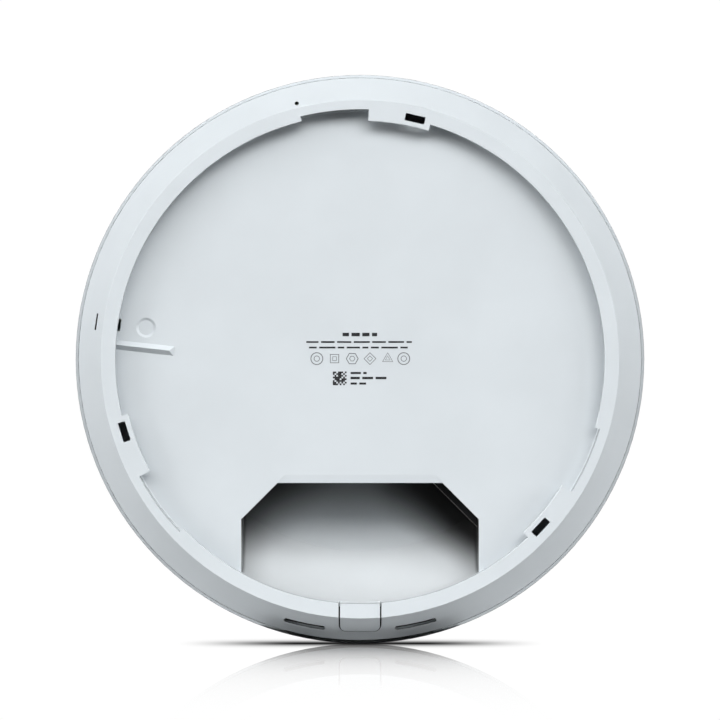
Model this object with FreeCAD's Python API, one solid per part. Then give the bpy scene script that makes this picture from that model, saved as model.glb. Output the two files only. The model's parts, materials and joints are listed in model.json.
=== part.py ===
import FreeCAD, Part
import math
import os

Vector = FreeCAD.Vector

# Ceiling access point, standing on its edge. The disc axis is Y: the mounting side faces -Y, the
# domed front faces +Y, and the cable exit is at the bottom (-Z). The origin is the centre of the
# rear mounting plane. Lengths are millimetres; angles are degrees from +X towards +Z.

# ---- Body -------------------------------------------------------------------------------------
BODY_R = 103.2              # widest radius, on the front cover's edge
BODY_DEPTH = 46.0           # mounting plane to front face
EDGE_ROUND = 0.2            # rounding of the moulded edges that a hand touches
GAP = 0.1                   # assembly gap between pieces that are laid together

# ---- Rear housing -----------------------------------------------------------------------------
PLANE_IN_R = 88.0           # inner edge of the flat mounting ring
PLANE_OUT_R = 93.2          # outer edge of the flat ring, where the cone starts
CONE_SLOPE = 0.75           # radius gained per millimetre of depth
CONE_END_R = 102.0          # outer edge of the cone, at the seam
SKIN = 2.2                  # thickness of the cone's skin, the lip and the recess floor
RECESS_R = 89.9             # wall of the bracket recess, under the lip
FLOOR_Y = 6.0               # depth of the recess floor
FLOOR_BACK_Y = FLOOR_Y + SKIN
SEAM_Y = 13.0               # step that the front cover's edge butts against
SKIRT_OUT_R = 100.2         # ring that plugs into the front cover
SKIRT_IN_R = 98.6
SKIRT_END_Y = 18.0

# Bayonet: three tabs, each followed by an entry notch
BAYONET_COUNT = 3
TAB_R = 85.6                # how far the tabs reach inwards
TAB_ROUND = 0.35
TAB_FROM, TAB_TO = 73.3, 88.0
NOTCH_TO = 103.8
WINDOW_R, WINDOW_ANGLE = 88.7, 77.1
WINDOW_LONG, WINDOW_WIDE, WINDOW_ROUND = 7.2, 2.7, 0.4

# Port bay, a deep bowl below the recess floor
BAY_HALF_W = 42.9
BAY_TOP_Z = -44.7
BAY_CHAMFER = 13.1
BAY_FLOOR_Y = 38.0
BAY_CREASE_R = 70.8         # the bay's floor is flat inside this radius
BAY_SLOPE = 0.41            # rise per millimetre just outside the crease
BAY_CURVE_R = 27.5
BAY_WALL_R = 88.0
BAY_SKIN = 2.0
BAY_END_Z = -96.0           # the bay's outline runs past the rim before the bowl trims it
RAMP_LONG, RAMP_DEEP = 2.8, 0.25

# Details on the recess floor
DIMPLE_X, DIMPLE_Z, DIMPLE_R = -77.3, 11.4, 3.6
DIMPLE_DEEP, DIMPLE_BEVEL = 0.6, 0.9
RIB_OUT, RIB_IN = (-90.5, 5.5), (-67.2, 2.9)
RIB_HALF_W, RIB_HIGH, RIB_HIP = 1.7, 1.7, 1.7

# Openings in the cone
VENT_R, VENT_WIDE, VENT_SLIT, VENT_POCKET_Y = 98.0, 1.45, 0.7, 9.2
VENTS = ((254.1, 262.2), (277.8, 285.9))
PINHOLE_R, PINHOLE_ANGLE, PINHOLE_BORE = 94.9, 103.9, 0.75
RELEASE_ANGLE, RELEASE_R, RELEASE_LONG, RELEASE_WIDE = 171.9, 96.0, 6.0, 0.6
LATCH_IN_R, LATCH_LONG = 87.3, 4.4

# Cable exit at the bottom, closed by a slide-out cover
EXIT_HALF_W = 7.72
EXIT_DEEP = 7.0
EXIT_ROUND = 2.7
EXIT_GAP = 0.55
EXIT_END_R = 98.55          # where the notch runs out of the cone
EXIT_WALL = 2.0
COVER_SKIN = 1.8

# ---- Front cover and light ring ---------------------------------------------------------------
RIM_START_Y = 12.1
RIM_IN_R = 102.14
COVER_IN_R = 100.35
FRONT_TAPER = 0.083         # radius lost per millimetre of depth
FRONT_ROUND = 17.0
FRONT_SKIN = 2.5
SNAP_COUNT, SNAP_LONG = 6, 9.0
SNAP_FROM_Y, SNAP_TO_Y = 14.9, 16.6
LIGHT_OUT_R, LIGHT_IN_R = 37.2, 35.4
LIGHT_GAP = 0.15
LIGHT_FLANGE = 1.9

# ---- Layers behind the recess floor -----------------------------------------------------------
PLATE_Y, PLATE_TOP_Y = 12.2, 15.6
PLATE_R = 82.0
PEDESTAL_Y = 16.6
BOARD_Y, BOARD_TOP_Y = 18.4, 20.0
BOARD_R = 84.0
CHIP_HIGH = 1.2
BOARD_BAY_GAP = 3.4         # board edge to the bay's inner wall
EAR_HALF_W, EAR_R = 5.0, 97.4
LED_BOARD_Y, LED_BOARD_TOP_Y = 37.6, 38.8
LED_BOARD_IN_R, LED_BOARD_OUT_R = 26.0, 44.0
LED_COUNT = 8

# ---- Screws -----------------------------------------------------------------------------------
SCREW_R = 1.25              # M2.5 shank
SCREW_HOLE_R = 1.3          # thread drawn as a plain hole
SCREW_PASS_R = 1.45
HEAD_R, HEAD_HIGH = 2.3, 1.6
SMALL_SCREW_R, SMALL_HEAD_R, SMALL_HEAD_HIGH = 1.0, 1.9, 1.3
PLATE_SCREW_R, PLATE_SCREW_ANGLES = 70.0, (22, 68, 112, 150, 196, 336)
BOARD_SCREW_R, BOARD_SCREW_ANGLES = 79.0, (0, 45, 90, 135, 180, 215, 325)
STANDOFF_R = 2.8
FRAME_BOSS_R, FRAME_BOSS_ANGLES = 88.4, (10, 70, 130, 190)

# ---- Port (local axes: X into the body, Z across, Y as the body's) ------------------------------
PORT_X = BAY_HALF_W - BAY_CHAMFER / 2
PORT_Z = BAY_TOP_Z - BAY_CHAMFER / 2
PORT_TURN = 45.0
JACK_FRONT, JACK_BACK = -2.65, 18.6
JACK_HALF_W = 8.0
JACK_HIGH = 13.4
JACK_SHEET = 0.35
BEZEL_HALF_W, BEZEL_LOW, BEZEL_HIGH = 9.1, 1.5, 0.8
PLUG_HALF_W, PLUG_HIGH, PLUG_DEEP = 5.95, 6.9, 13.0
CONTACT_COUNT, CONTACT_PITCH, CONTACT_WIDE = 8, 1.02, 0.4

# ---- Blower -----------------------------------------------------------------------------------
FAN_X, FAN_Z = -38.0, -8.0
FAN_HALF = 25.0
FAN_Y, FAN_TOP_Y = 20.3, 30.3
FAN_INLET_R = 15.0
FAN_CORNERS = ((-22.2, -22.2), (22.2, -22.2), (22.2, 14.0))
IMPELLER_R, HUB_R, HUB_SKIN = 19.0, 9.0, 0.8
BLADE_COUNT = 17
FAN_PLUG_X, FAN_PLUG_Z = -52.0, -36.8
SHAFT_R = 1.0
SHAFT_RUNNING = 0.03

# ---- Heat sink over the processor ---------------------------------------------------------------
SINK_X, SINK_Z = -39.0, 35.0
SINK_HALF_X, SINK_HALF_Z = 26.0, 15.0
SINK_Y, SINK_BASE_TOP_Y, SINK_TOP_Y = 22.0, 24.5, 33.0
SINK_LEG_X, SINK_LEG_Z = 23.0, 12.0
FIN_COUNT = 13

# ---- Antennas -----------------------------------------------------------------------------------
FRAME_IN_R, FRAME_OUT_R = 85.8, 95.4
FRAME_Y, FRAME_TOP_Y = 21.0, 23.0
FRAME_FROM, FRAME_TO = -46.0, 226.0
ANTENNA_SHEET = 0.4
ANTENNAS_LOW = (-24, 160)
ANTENNAS_MID = (30, 212)
ANTENNAS_HIGH = (55, 115)
ANTENNA_SHORT = (88,)
ANTENNA_PLUG_R = 75.5

ORIGIN = Vector(0, 0, 0)
DISC_AXIS = Vector(0, 1, 0)
TURN_AXIS = Vector(0, -1, 0)


# ---- Drawing helpers ----------------------------------------------------------------------------
def in_profile(r, y):
    """Point of a section that is revolved about the disc axis."""
    return Vector(r, y, 0)


def in_plan(x, z):
    """Point of an outline seen along the disc axis."""
    return Vector(x, 0, z)


def corner_stops(before, corner, after, radius, place):
    """Start, middle and end of the arc that rounds one corner."""
    tip = place(corner[0], corner[1])
    if radius == 0:
        return tip, tip, tip
    back = (place(before[0], before[1]) - tip).normalize()
    ahead = (place(after[0], after[1]) - tip).normalize()
    half = back.getAngle(ahead) / 2
    reach = radius / math.tan(half)
    centre = tip + (back + ahead).normalize() * (radius / math.sin(half))
    middle = centre + (tip - centre).normalize() * radius
    return tip + back * reach, middle, tip + ahead * reach


def face_of(corners, place):
    """Closed face. A corner is (a, b), or (a, b, rounding radius)."""
    stops = []
    for index, corner in enumerate(corners):
        radius = corner[2] if len(corner) == 3 else 0
        after = corners[(index + 1) % len(corners)]
        stops.append(corner_stops(corners[index - 1], corner, after, radius, place))
    edges = []
    for index, (start, middle, end) in enumerate(stops):
        if start != end:
            edges.append(Part.Arc(start, middle, end).toShape())
        next_start = stops[(index + 1) % len(stops)][0]
        if end.distanceToPoint(next_start) > 1e-6:
            edges.append(Part.makeLine(end, next_start))
    return Part.Face(Part.Wire(edges))


def revolve(corners, sweep=360.0):
    """Solid of revolution about the disc axis from (radius, y) corners."""
    return face_of(corners, in_profile).revolve(ORIGIN, TURN_AXIS, sweep)


def prism(corners, y0, y1):
    """Plate with an (x, z) outline, from y0 to y1."""
    face = face_of(corners, in_plan)
    face.translate(Vector(0, y0, 0))
    return face.extrude(Vector(0, y1 - y0, 0))


def rod(x, z, radius, y0, y1):
    """Round bar parallel to the disc axis."""
    return Part.makeCylinder(radius, y1 - y0, Vector(x, y0, z), DISC_AXIS)


def tube(x, z, outer, inner, y0, y1):
    """Hollow bar parallel to the disc axis."""
    return rod(x, z, outer, y0, y1).cut(rod(x, z, inner, y0 - 1, y1 + 1))


def block(x0, x1, y0, y1, z0, z1):
    """Box between two corners."""
    return Part.makeBox(x1 - x0, y1 - y0, z1 - z0, Vector(x0, y0, z0))


def slab(x, z, wide, tall, y0, y1):
    """Box centred on (x, z)."""
    return block(x - wide / 2, x + wide / 2, y0, y1, z - tall / 2, z + tall / 2)


def spin(shape, degrees):
    """Copy of a shape turned about the disc axis."""
    turned = shape.copy()
    turned.rotate(ORIGIN, TURN_AXIS, degrees)
    return turned


def polar(radius, degrees):
    """(x, z) of a point at a radius and an angle."""
    turn = math.radians(degrees)
    return radius * math.cos(turn), radius * math.sin(turn)


def sector(r0, r1, a0, a1, y0, y1):
    """Part of a ring between two angles."""
    section = [(r0, y0), (r1, y0), (r1, y1), (r0, y1)]
    return spin(revolve(section, a1 - a0), a0)


def ring(r0, r1, y0, y1):
    """Full ring with a square section."""
    return revolve([(r0, y0), (r1, y0), (r1, y1), (r0, y1)])


def fused(shapes):
    """One solid from touching or crossing shapes."""
    return shapes[0].multiFuse(shapes[1:]).removeSplitter()


def group(shapes):
    """Separate solids that share one file."""
    return Part.makeCompound(shapes)


def mirrored_x(x_values):
    """Both signs of each value, left first."""
    return [-x for x in x_values] + list(x_values)


def wire_cable(points, radius):
    """Round cable along a smooth curve through the points."""
    curve = Part.BSplineCurve()
    curve.interpolate([Vector(*point) for point in points])
    path = Part.Wire(curve.toShape())
    start = Vector(*points[0])
    heading = curve.tangent(0.0)[0]
    ring_wire = Part.Wire(Part.makeCircle(radius, start, heading))
    return path.makePipeShell([ring_wire], True, False)


def ribbon(points, thick, x0, x1):
    """Flat cable: a bent strip, drawn in the (z, y) plane and extruded along X."""
    upper = [(z, y + thick / 2) for z, y in points]
    lower = [(z, y - thick / 2) for z, y in reversed(points)]
    corners = upper + lower
    face = face_of(corners, lambda z, y: Vector(x0, y, z))
    return face.extrude(Vector(x1 - x0, 0, 0))


def screw(x, z, under_head_y, tip_y, shank_r=SCREW_R, head_r=HEAD_R, head_high=HEAD_HIGH):
    """Pan-head screw driven from the front, with a cross recess."""
    shank = rod(x, z, shank_r, tip_y, under_head_y + head_high / 2)
    top_y = under_head_y + head_high
    head = rod(x, z, head_r, under_head_y, top_y)
    rim = [edge for edge in head.Edges if edge.BoundBox.YMin > top_y - 0.01]
    head = head.makeFillet(head_high * 0.45, rim[:1])
    body = fused([head, shank])
    wing = head_r * 1.3
    slot = head_r * 0.28
    for wide, tall in ((wing, slot), (slot, wing)):
        body = body.cut(slab(x, z, wide, tall, top_y - head_high * 0.55, top_y + 1))
    return body


# ---- Rear housing -------------------------------------------------------------------------------
def cone_y(radius):
    """Depth of the cone's outside at a radius."""
    return (radius - PLANE_OUT_R) / CONE_SLOPE


def skin_r():
    """Radial thickness of the cone's skin."""
    return SKIN * math.hypot(1, CONE_SLOPE)


def inner_cone_y(radius):
    """Depth of the cone's inside at a radius."""
    return cone_y(radius + skin_r())


def housing_envelope():
    """Outside of the rear housing, filled in."""
    corners = [(0, 0), (PLANE_OUT_R, 0, EDGE_ROUND), (CONE_END_R, cone_y(CONE_END_R))]
    corners += [(CONE_END_R, SEAM_Y), (0, SEAM_Y)]
    return revolve(corners)


def housing_shell():
    """Recess floor, undercut wall, lip, flat ring, cone and skirt as one section."""
    wall_out_r = RECESS_R + SKIN
    pocket_y = SKIN + EDGE_ROUND
    pocket_r = PLANE_OUT_R + CONE_SLOPE * pocket_y - skin_r()
    corners = [
        (0, FLOOR_Y), (RECESS_R, FLOOR_Y, 0.8), (RECESS_R, SKIN), (PLANE_IN_R, SKIN),
        (PLANE_IN_R, 0, EDGE_ROUND), (PLANE_OUT_R, 0, EDGE_ROUND),
        (CONE_END_R, cone_y(CONE_END_R), EDGE_ROUND / 2), (CONE_END_R, SEAM_Y),
        (SKIRT_OUT_R, SEAM_Y), (SKIRT_OUT_R, SKIRT_END_Y), (SKIRT_IN_R, SKIRT_END_Y),
        (SKIRT_IN_R, inner_cone_y(SKIRT_IN_R)), (pocket_r, pocket_y), (wall_out_r, pocket_y),
        (wall_out_r, FLOOR_BACK_Y), (0, FLOOR_BACK_Y),
    ]
    return revolve(corners)


def bay_outline(grow):
    """Plan outline of the port bay, grown outwards."""
    half = BAY_HALF_W + grow
    top = BAY_TOP_Z + grow
    shift = grow * (math.sqrt(2) - 1)
    shoulder_x = BAY_HALF_W - BAY_CHAMFER + shift
    shoulder_z = BAY_TOP_Z - BAY_CHAMFER + shift
    right = [(shoulder_x, top), (half, shoulder_z), (half, BAY_END_Z)]
    left = [(-x, z) for x, z in reversed(right)]
    return left + right


def bay_bowl(grow, start_y):
    """Bowl that trims the bay: flat floor, crease, curve up to the rim."""
    lean = math.hypot(1, BAY_SLOPE)
    floor = BAY_FLOOR_Y + grow
    crease_r = BAY_CREASE_R + grow * (lean - 1) / BAY_SLOPE
    wall_r = BAY_WALL_R + grow
    corner_y = BAY_FLOOR_Y - BAY_SLOPE * (wall_r - BAY_CREASE_R) + grow * lean
    corners = [(0, start_y), (0, floor), (crease_r, floor)]
    corners += [(wall_r, corner_y, BAY_CURVE_R + grow), (wall_r, start_y)]
    return revolve(corners)


def bay_void(start_y=-1.0):
    """Open space of the port bay."""
    return prism(bay_outline(0), start_y, BODY_DEPTH).common(bay_bowl(0, start_y))


def bay_body():
    """Walls of the port bay, still filled in."""
    bowl = prism(bay_outline(BAY_SKIN), FLOOR_Y, BODY_DEPTH).common(bay_bowl(BAY_SKIN, FLOOR_Y))
    rim = ring(PLANE_IN_R, RECESS_R + SKIN, SKIN / 2, FLOOR_BACK_Y)
    rim = rim.common(prism(bay_outline(BAY_SKIN), 0, FLOOR_BACK_Y))
    return [bowl, rim]


def bay_ramp():
    """Shallow wedge cut above the bay's top edge."""
    inset = RAMP_LONG * 0.85
    half = BAY_HALF_W - BAY_CHAMFER
    top = BAY_TOP_Z + RAMP_LONG
    plan = [(-half, BAY_TOP_Z - 1), (-half, BAY_TOP_Z), (-half + inset, top)]
    plan += [(half - inset, top), (half, BAY_TOP_Z), (half, BAY_TOP_Z - 1)]
    drop = RAMP_DEEP / RAMP_LONG
    side = [(BAY_TOP_Z - 1, FLOOR_Y - 1), (top + 1 / drop, FLOOR_Y - 1)]
    side += [(BAY_TOP_Z - 1, FLOOR_Y + RAMP_DEEP + drop)]
    face = face_of(side, lambda z, y: Vector(-half, y, z))
    return face.extrude(Vector(2 * half, 0, 0)).common(prism(plan, 0, FLOOR_BACK_Y))


def port_place(shape):
    """Move a shape from the port's own axes to its place on the bay's right chamfer."""
    placed = spin(shape, PORT_TURN)
    placed.translate(Vector(PORT_X, 0, PORT_Z))
    return placed


def port_hole():
    """Opening in the bay wall for the network jack."""
    margin = 0.2
    half = JACK_HALF_W + margin
    high = BOARD_TOP_Y + JACK_HIGH + margin
    return port_place(block(-1, BAY_SKIN + 2, BOARD_TOP_Y - margin, high, -half, half))


def exit_outline(inset):
    """Plan outline of the cable exit, with round lower corners."""
    half = EXIT_HALF_W - inset
    top = -PLANE_IN_R + 2 - 2 * (inset > 0)
    low = -(EXIT_END_R - inset / 4)
    radius = EXIT_ROUND - inset
    return [(-half, top), (half, top), (half, low, radius), (-half, low, radius)]


def exit_gaps():
    """Slits round the cable cover, right through the housing."""
    slits = prism(exit_outline(0), -1, SEAM_Y - 1)
    return slits.cut(prism(exit_outline(EXIT_GAP), -2, SEAM_Y))


def exit_frame():
    """Walls round the cable exit, before its notch is cut."""
    half = EXIT_HALF_W + EXIT_WALL
    body = block(-half, half, 0, EXIT_DEEP + EXIT_WALL, -CONE_END_R, -PLANE_IN_R)
    body = body.cut(rod(0, 0, PLANE_IN_R, -1, BODY_DEPTH))
    return body.common(housing_envelope())


def tab(angle):
    """One bayonet tab, with a rounded inner edge."""
    root_r = PLANE_IN_R + 1
    section = [(TAB_R, 0, TAB_ROUND), (root_r, 0), (root_r, SKIN), (TAB_R, SKIN)]
    return spin(revolve(section, TAB_TO - TAB_FROM), TAB_FROM + angle)


def notch(angle):
    """Entry notch beside one bayonet tab."""
    return sector(TAB_R - 1, RECESS_R, TAB_TO + angle, NOTCH_TO + angle, -1, SKIN + 0.01)


def window(angle):
    """Rectangular hole through a tab, and the wider core-out under it."""
    half_w, half_l = WINDOW_WIDE / 2, WINDOW_LONG / 2
    near, far = WINDOW_R - half_w, WINDOW_R + half_w
    corners = [(near, -half_l), (far, -half_l), (far, half_l), (near, half_l)]
    rounded = [(x, z, WINDOW_ROUND) for x, z in corners]
    hole = prism(rounded, -1, FLOOR_Y)
    under = block(near - 0.6, far + 1.4, SKIN, FLOOR_BACK_Y + 1, -half_l - 0.4, half_l + 0.4)
    return spin(hole.fuse(under), WINDOW_ANGLE + angle)


def floor_rib():
    """Low ridge on the recess floor: a roof with a hipped inner end, sunk into the floor."""
    run = Vector(RIB_IN[0] - RIB_OUT[0], 0, RIB_IN[1] - RIB_OUT[1])
    ahead = Vector(run).normalize()
    across = ahead.cross(DISC_AXIS) * RIB_HALF_W
    start = Vector(RIB_OUT[0], FLOOR_Y, RIB_OUT[1])
    end = start + run
    rise = Vector(0, -RIB_HIGH, 0)
    sink = Vector(0, SKIN / 2, 0)
    ridge_start, ridge_end = start + rise, end - ahead * RIB_HIP + rise
    left, right = (start - across, end - across), (start + across, end + across)
    outlines = [
        [left[0], left[1], ridge_end, ridge_start],
        [right[1], right[0], ridge_start, ridge_end],
        [left[1], right[1], ridge_end],
        [right[0], left[0], ridge_start],
        [left[0] + sink, left[1] + sink, left[1], left[0]],
        [right[1] + sink, right[0] + sink, right[0], right[1]],
        [left[1] + sink, right[1] + sink, right[1], left[1]],
        [right[0] + sink, left[0] + sink, left[0], right[0]],
        [left[0] + sink, right[0] + sink, right[1] + sink, left[1] + sink],
    ]
    faces = [Part.Face(Part.makePolygon(points + points[:1])) for points in outlines]
    return Part.makeSolid(Part.makeShell(faces))


def guide_room():
    """Space under the cone's skin, down to the board."""
    top = cone_y(CONE_END_R)
    inset = 0.5
    corners = [(0, 1), (PLANE_OUT_R + CONE_SLOPE - inset, 1), (CONE_END_R - inset, top)]
    corners += [(CONE_END_R - inset, BOARD_Y), (0, BOARD_Y)]
    return revolve(corners)


def pinhole_guide():
    """Moulded tube that leads a pin from the cone to the reset switch."""
    x, z = polar(PINHOLE_R, PINHOLE_ANGLE)
    outside = rod(x, z, 2.1, SKIN, BOARD_Y - 3.9)
    return outside.common(guide_room())


def pinhole():
    """Bore of the reset pinhole and its guide."""
    x, z = polar(PINHOLE_R, PINHOLE_ANGLE)
    return rod(x, z, PINHOLE_BORE, -1, BOARD_Y)


def release_slot():
    """Slot in the cone for the flat tool that frees the bracket's latch."""
    half = RELEASE_LONG / 2
    cut = block(RELEASE_R - RELEASE_WIDE / 2, RELEASE_R + RELEASE_WIDE / 2, -1, SEAM_Y, -half, half)
    return spin(cut, RELEASE_ANGLE)


def latch_slot():
    """Slot in the recess floor, beside the wall, where the freed latch moves."""
    half = LATCH_LONG / 2
    return spin(block(LATCH_IN_R, RECESS_R - 0.2, SKIN, FLOOR_BACK_Y + 1, -half, half), RELEASE_ANGLE)


def arc_slot(radius, wide, a0, a1, y0, y1):
    """Slot with round ends along an arc."""
    slot = sector(radius - wide / 2, radius + wide / 2, a0, a1, y0, y1)
    ends = [rod(*polar(radius, angle), wide / 2, y0, y1) for angle in (a0, a1)]
    return slot.multiFuse(ends)


def vent(a0, a1):
    """Recessed slot in the cone with a narrow slit through its inner side."""
    pocket = arc_slot(VENT_R, VENT_WIDE, a0, a1, -1, VENT_POCKET_Y)
    slit_r = VENT_R - (VENT_WIDE - VENT_SLIT) / 2
    return pocket.fuse(arc_slot(slit_r, VENT_SLIT, a0, a1, -1, SEAM_Y))


def boss_spots():
    """Screw bosses on the back of the recess floor: (x, z, outer radius, top y)."""
    plate = [(*polar(PLATE_SCREW_R, a), 3.2, PLATE_Y) for a in PLATE_SCREW_ANGLES]
    frame = [(*polar(FRAME_BOSS_R, a), 2.6, FRAME_Y) for a in FRAME_BOSS_ANGLES]
    return plate + frame


def snap_angles():
    """Angles of the snap hooks between the two shells."""
    return [30 + 360 / SNAP_COUNT * index for index in range(SNAP_COUNT)]


def snap_window(angle):
    """Window in the skirt for one snap hook."""
    half = SNAP_LONG / 2 + 0.6
    cut = block(SKIRT_IN_R - 2, SKIRT_OUT_R + 2, SNAP_FROM_Y - 0.3, SNAP_TO_Y + 0.3, -half, half)
    return spin(cut, angle)


def rear_housing():
    """White moulding with the bracket recess, the bayonet, the port bay and the vents."""
    turns = [360 / BAYONET_COUNT * index for index in range(BAYONET_COUNT)]
    solids = [housing_shell(), exit_frame(), floor_rib(), pinhole_guide()]
    solids += bay_body()
    solids += [tab(angle) for angle in turns]
    solids += [rod(x, z, r, FLOOR_Y + SKIN / 2, top) for x, z, r, top in boss_spots()]
    body = solids[0].multiFuse(solids[1:])
    dimple = Part.makeCone(DIMPLE_R, DIMPLE_R - DIMPLE_BEVEL, DIMPLE_DEEP,
                           Vector(DIMPLE_X, FLOOR_Y, DIMPLE_Z), DISC_AXIS)
    cuts = [bay_void(), bay_ramp(), port_hole(), dimple, pinhole(), release_slot(), latch_slot()]
    cuts += [prism(exit_outline(0), -1, EXIT_DEEP), exit_gaps()]
    cuts += [notch(angle) for angle in turns]
    cuts += [window(angle) for angle in turns]
    cuts += [vent(a0, a1) for a0, a1 in VENTS]
    cuts += [snap_window(angle) for angle in snap_angles()]
    cuts += [rod(x, z, SCREW_HOLE_R, FLOOR_Y + 0.8, top + 1) for x, z, r, top in boss_spots()]
    return body.cut(cuts).removeSplitter()


def cable_cover():
    """Slide-out cap over the cable exit, hollow on the inside."""
    outline = exit_outline(EXIT_GAP)
    low_y = EXIT_DEEP - GAP
    body = prism(outline, 0, low_y).common(housing_envelope())
    body = body.cut(rod(0, 0, PLANE_IN_R, -1, BODY_DEPTH))
    half = EXIT_HALF_W - EXIT_GAP - COVER_SKIN
    hollow = block(-half, half, COVER_SKIN, low_y + 1, -BODY_R, -PLANE_IN_R - COVER_SKIN)
    inner_cone = revolve([(0, -1), (PLANE_OUT_R - skin_r(), -1),
                          (PLANE_OUT_R - skin_r(), 0), (CONE_END_R - skin_r(), cone_y(CONE_END_R)),
                          (0, cone_y(CONE_END_R))])
    return body.cut(hollow.common(inner_cone)).removeSplitter()


# ---- Front cover, cap and light ring ------------------------------------------------------------
def front_r(y):
    """Outer radius of the front cover's side at a depth."""
    return BODY_R - FRONT_TAPER * (y - RIM_START_Y)


def snap_hook(angle):
    """Small ledge inside the front cover that clicks into the skirt's window."""
    half = SNAP_LONG / 2
    hook = block(SKIRT_OUT_R - 0.9, COVER_IN_R + 1, SNAP_FROM_Y, SNAP_TO_Y, -half, half)
    return spin(hook, angle)


def led_posts():
    """Posts inside the front cover that carry the light board: (x, z)."""
    return [polar(41.5, angle) for angle in (45, 165, 285)]


def front_cover():
    """White dome with the light ring's opening in the middle of its face."""
    inside_y = BODY_DEPTH - FRONT_SKIN
    inside_r = front_r(BODY_DEPTH) - FRONT_SKIN
    step_y = SEAM_Y + 0.2
    straight_y = SKIRT_END_Y + 0.5
    hole_r = LIGHT_OUT_R + LIGHT_GAP
    corners = [
        (BODY_R, RIM_START_Y, 0.25), (front_r(BODY_DEPTH), BODY_DEPTH, FRONT_ROUND),
        (hole_r, BODY_DEPTH, 0.2), (hole_r, inside_y),
        (inside_r, inside_y, FRONT_ROUND - FRONT_SKIN), (COVER_IN_R, straight_y),
        (COVER_IN_R, step_y), (RIM_IN_R, step_y), (RIM_IN_R, RIM_START_Y),
    ]
    solids = [revolve(corners)]
    solids += [snap_hook(angle) for angle in snap_angles()]
    solids += [rod(x, z, 2.3, LED_BOARD_TOP_Y, inside_y + 0.5) for x, z in led_posts()]
    body = fused(solids)
    return body.cut([rod(x, z, SMALL_SCREW_R, LED_BOARD_TOP_Y - 1, inside_y) for x, z in led_posts()])


def center_cap():
    """Round cap inside the light ring."""
    cap_r = LIGHT_IN_R - LIGHT_GAP
    inside_y = BODY_DEPTH - FRONT_SKIN
    skirt_r = cap_r - LIGHT_FLANGE - LIGHT_GAP
    skirt_y = inside_y - 2.4
    corners = [(0, inside_y), (0, BODY_DEPTH), (cap_r, BODY_DEPTH, 0.2), (cap_r, inside_y)]
    corners += [(skirt_r, inside_y), (skirt_r, skirt_y), (skirt_r - 1.6, skirt_y)]
    corners += [(skirt_r - 1.6, inside_y)]
    return revolve(corners)


def light_ring():
    """Translucent ring, flush in the front face, with a flange behind cover and cap."""
    flange_y = BODY_DEPTH - FRONT_SKIN
    flange_back = flange_y - 1.8
    corners = [
        (LIGHT_IN_R, BODY_DEPTH, 0.15), (LIGHT_OUT_R, BODY_DEPTH, 0.15), (LIGHT_OUT_R, flange_y),
        (LIGHT_OUT_R + LIGHT_FLANGE, flange_y), (LIGHT_OUT_R + LIGHT_FLANGE, flange_back),
        (LIGHT_IN_R - LIGHT_FLANGE, flange_back), (LIGHT_IN_R - LIGHT_FLANGE, flange_y),
        (LIGHT_IN_R, flange_y),
    ]
    return revolve(corners)


def led_board():
    """Ring board that carries the lights."""
    body = ring(LED_BOARD_IN_R, LED_BOARD_OUT_R, LED_BOARD_Y, LED_BOARD_TOP_Y)
    body = body.cut(prism(bay_outline(BAY_SKIN + 0.4), LED_BOARD_Y - 1, LED_BOARD_TOP_Y + 1))
    holes = [rod(x, z, SMALL_SCREW_R + 0.2, LED_BOARD_Y - 1, BODY_DEPTH) for x, z in led_posts()]
    return body.cut(holes)


def leds():
    """Lights under the ring."""
    lights = []
    for index in range(LED_COUNT):
        one = slab((LIGHT_IN_R + LIGHT_OUT_R) / 2, 0, 2.8, 3.5, LED_BOARD_TOP_Y, LED_BOARD_TOP_Y + 1.4)
        lights.append(spin(one, 360 / LED_COUNT * (index + 0.5)))
    return group(lights)


def led_screws():
    """Screws that hold the light board to the front cover, driven from behind."""
    screws = []
    for x, z in led_posts():
        head = rod(x, z, SMALL_HEAD_R, LED_BOARD_Y - SMALL_HEAD_HIGH, LED_BOARD_Y)
        shank = rod(x, z, SMALL_SCREW_R - 0.05, LED_BOARD_Y - 0.1, LED_BOARD_TOP_Y + 3.5)
        slot = slab(x, z, SMALL_HEAD_R * 2.4, 0.5, LED_BOARD_Y - 2, LED_BOARD_Y - 0.7)
        screws.append(head.fuse(shank).cut(slot))
    return group(screws)


# ---- Base plate, main board and its screws --------------------------------------------------------
def plan_disc(radius, bay_gap, y0, y1):
    """Round plate with the port bay cut out of it."""
    return rod(0, 0, radius, y0, y1).cut(prism(bay_outline(bay_gap), y0 - 1, y1 + 1))


def rear_chips():
    """Warm chips on the board's rear face: name to (x, z, side)."""
    return {"radio_chips": ((26, 42, 12), (24, 4, 12), (-30, -24, 12)), "network_chip": ((58, -6, 10),)}


def sink_legs():
    """Feet of the finned heat sink."""
    return [(SINK_X + dx, SINK_Z + dz) for dx in mirrored_x([SINK_LEG_X])
            for dz in mirrored_x([SINK_LEG_Z])]


def fan_spots():
    """Screw posts of the blower."""
    return [(FAN_X + dx, FAN_Z + dz) for dx, dz in FAN_CORNERS]


def standoff_spots():
    """Threaded posts of the base plate."""
    edge = [polar(BOARD_SCREW_R, angle) for angle in BOARD_SCREW_ANGLES]
    return edge + sink_legs() + fan_spots()


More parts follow.
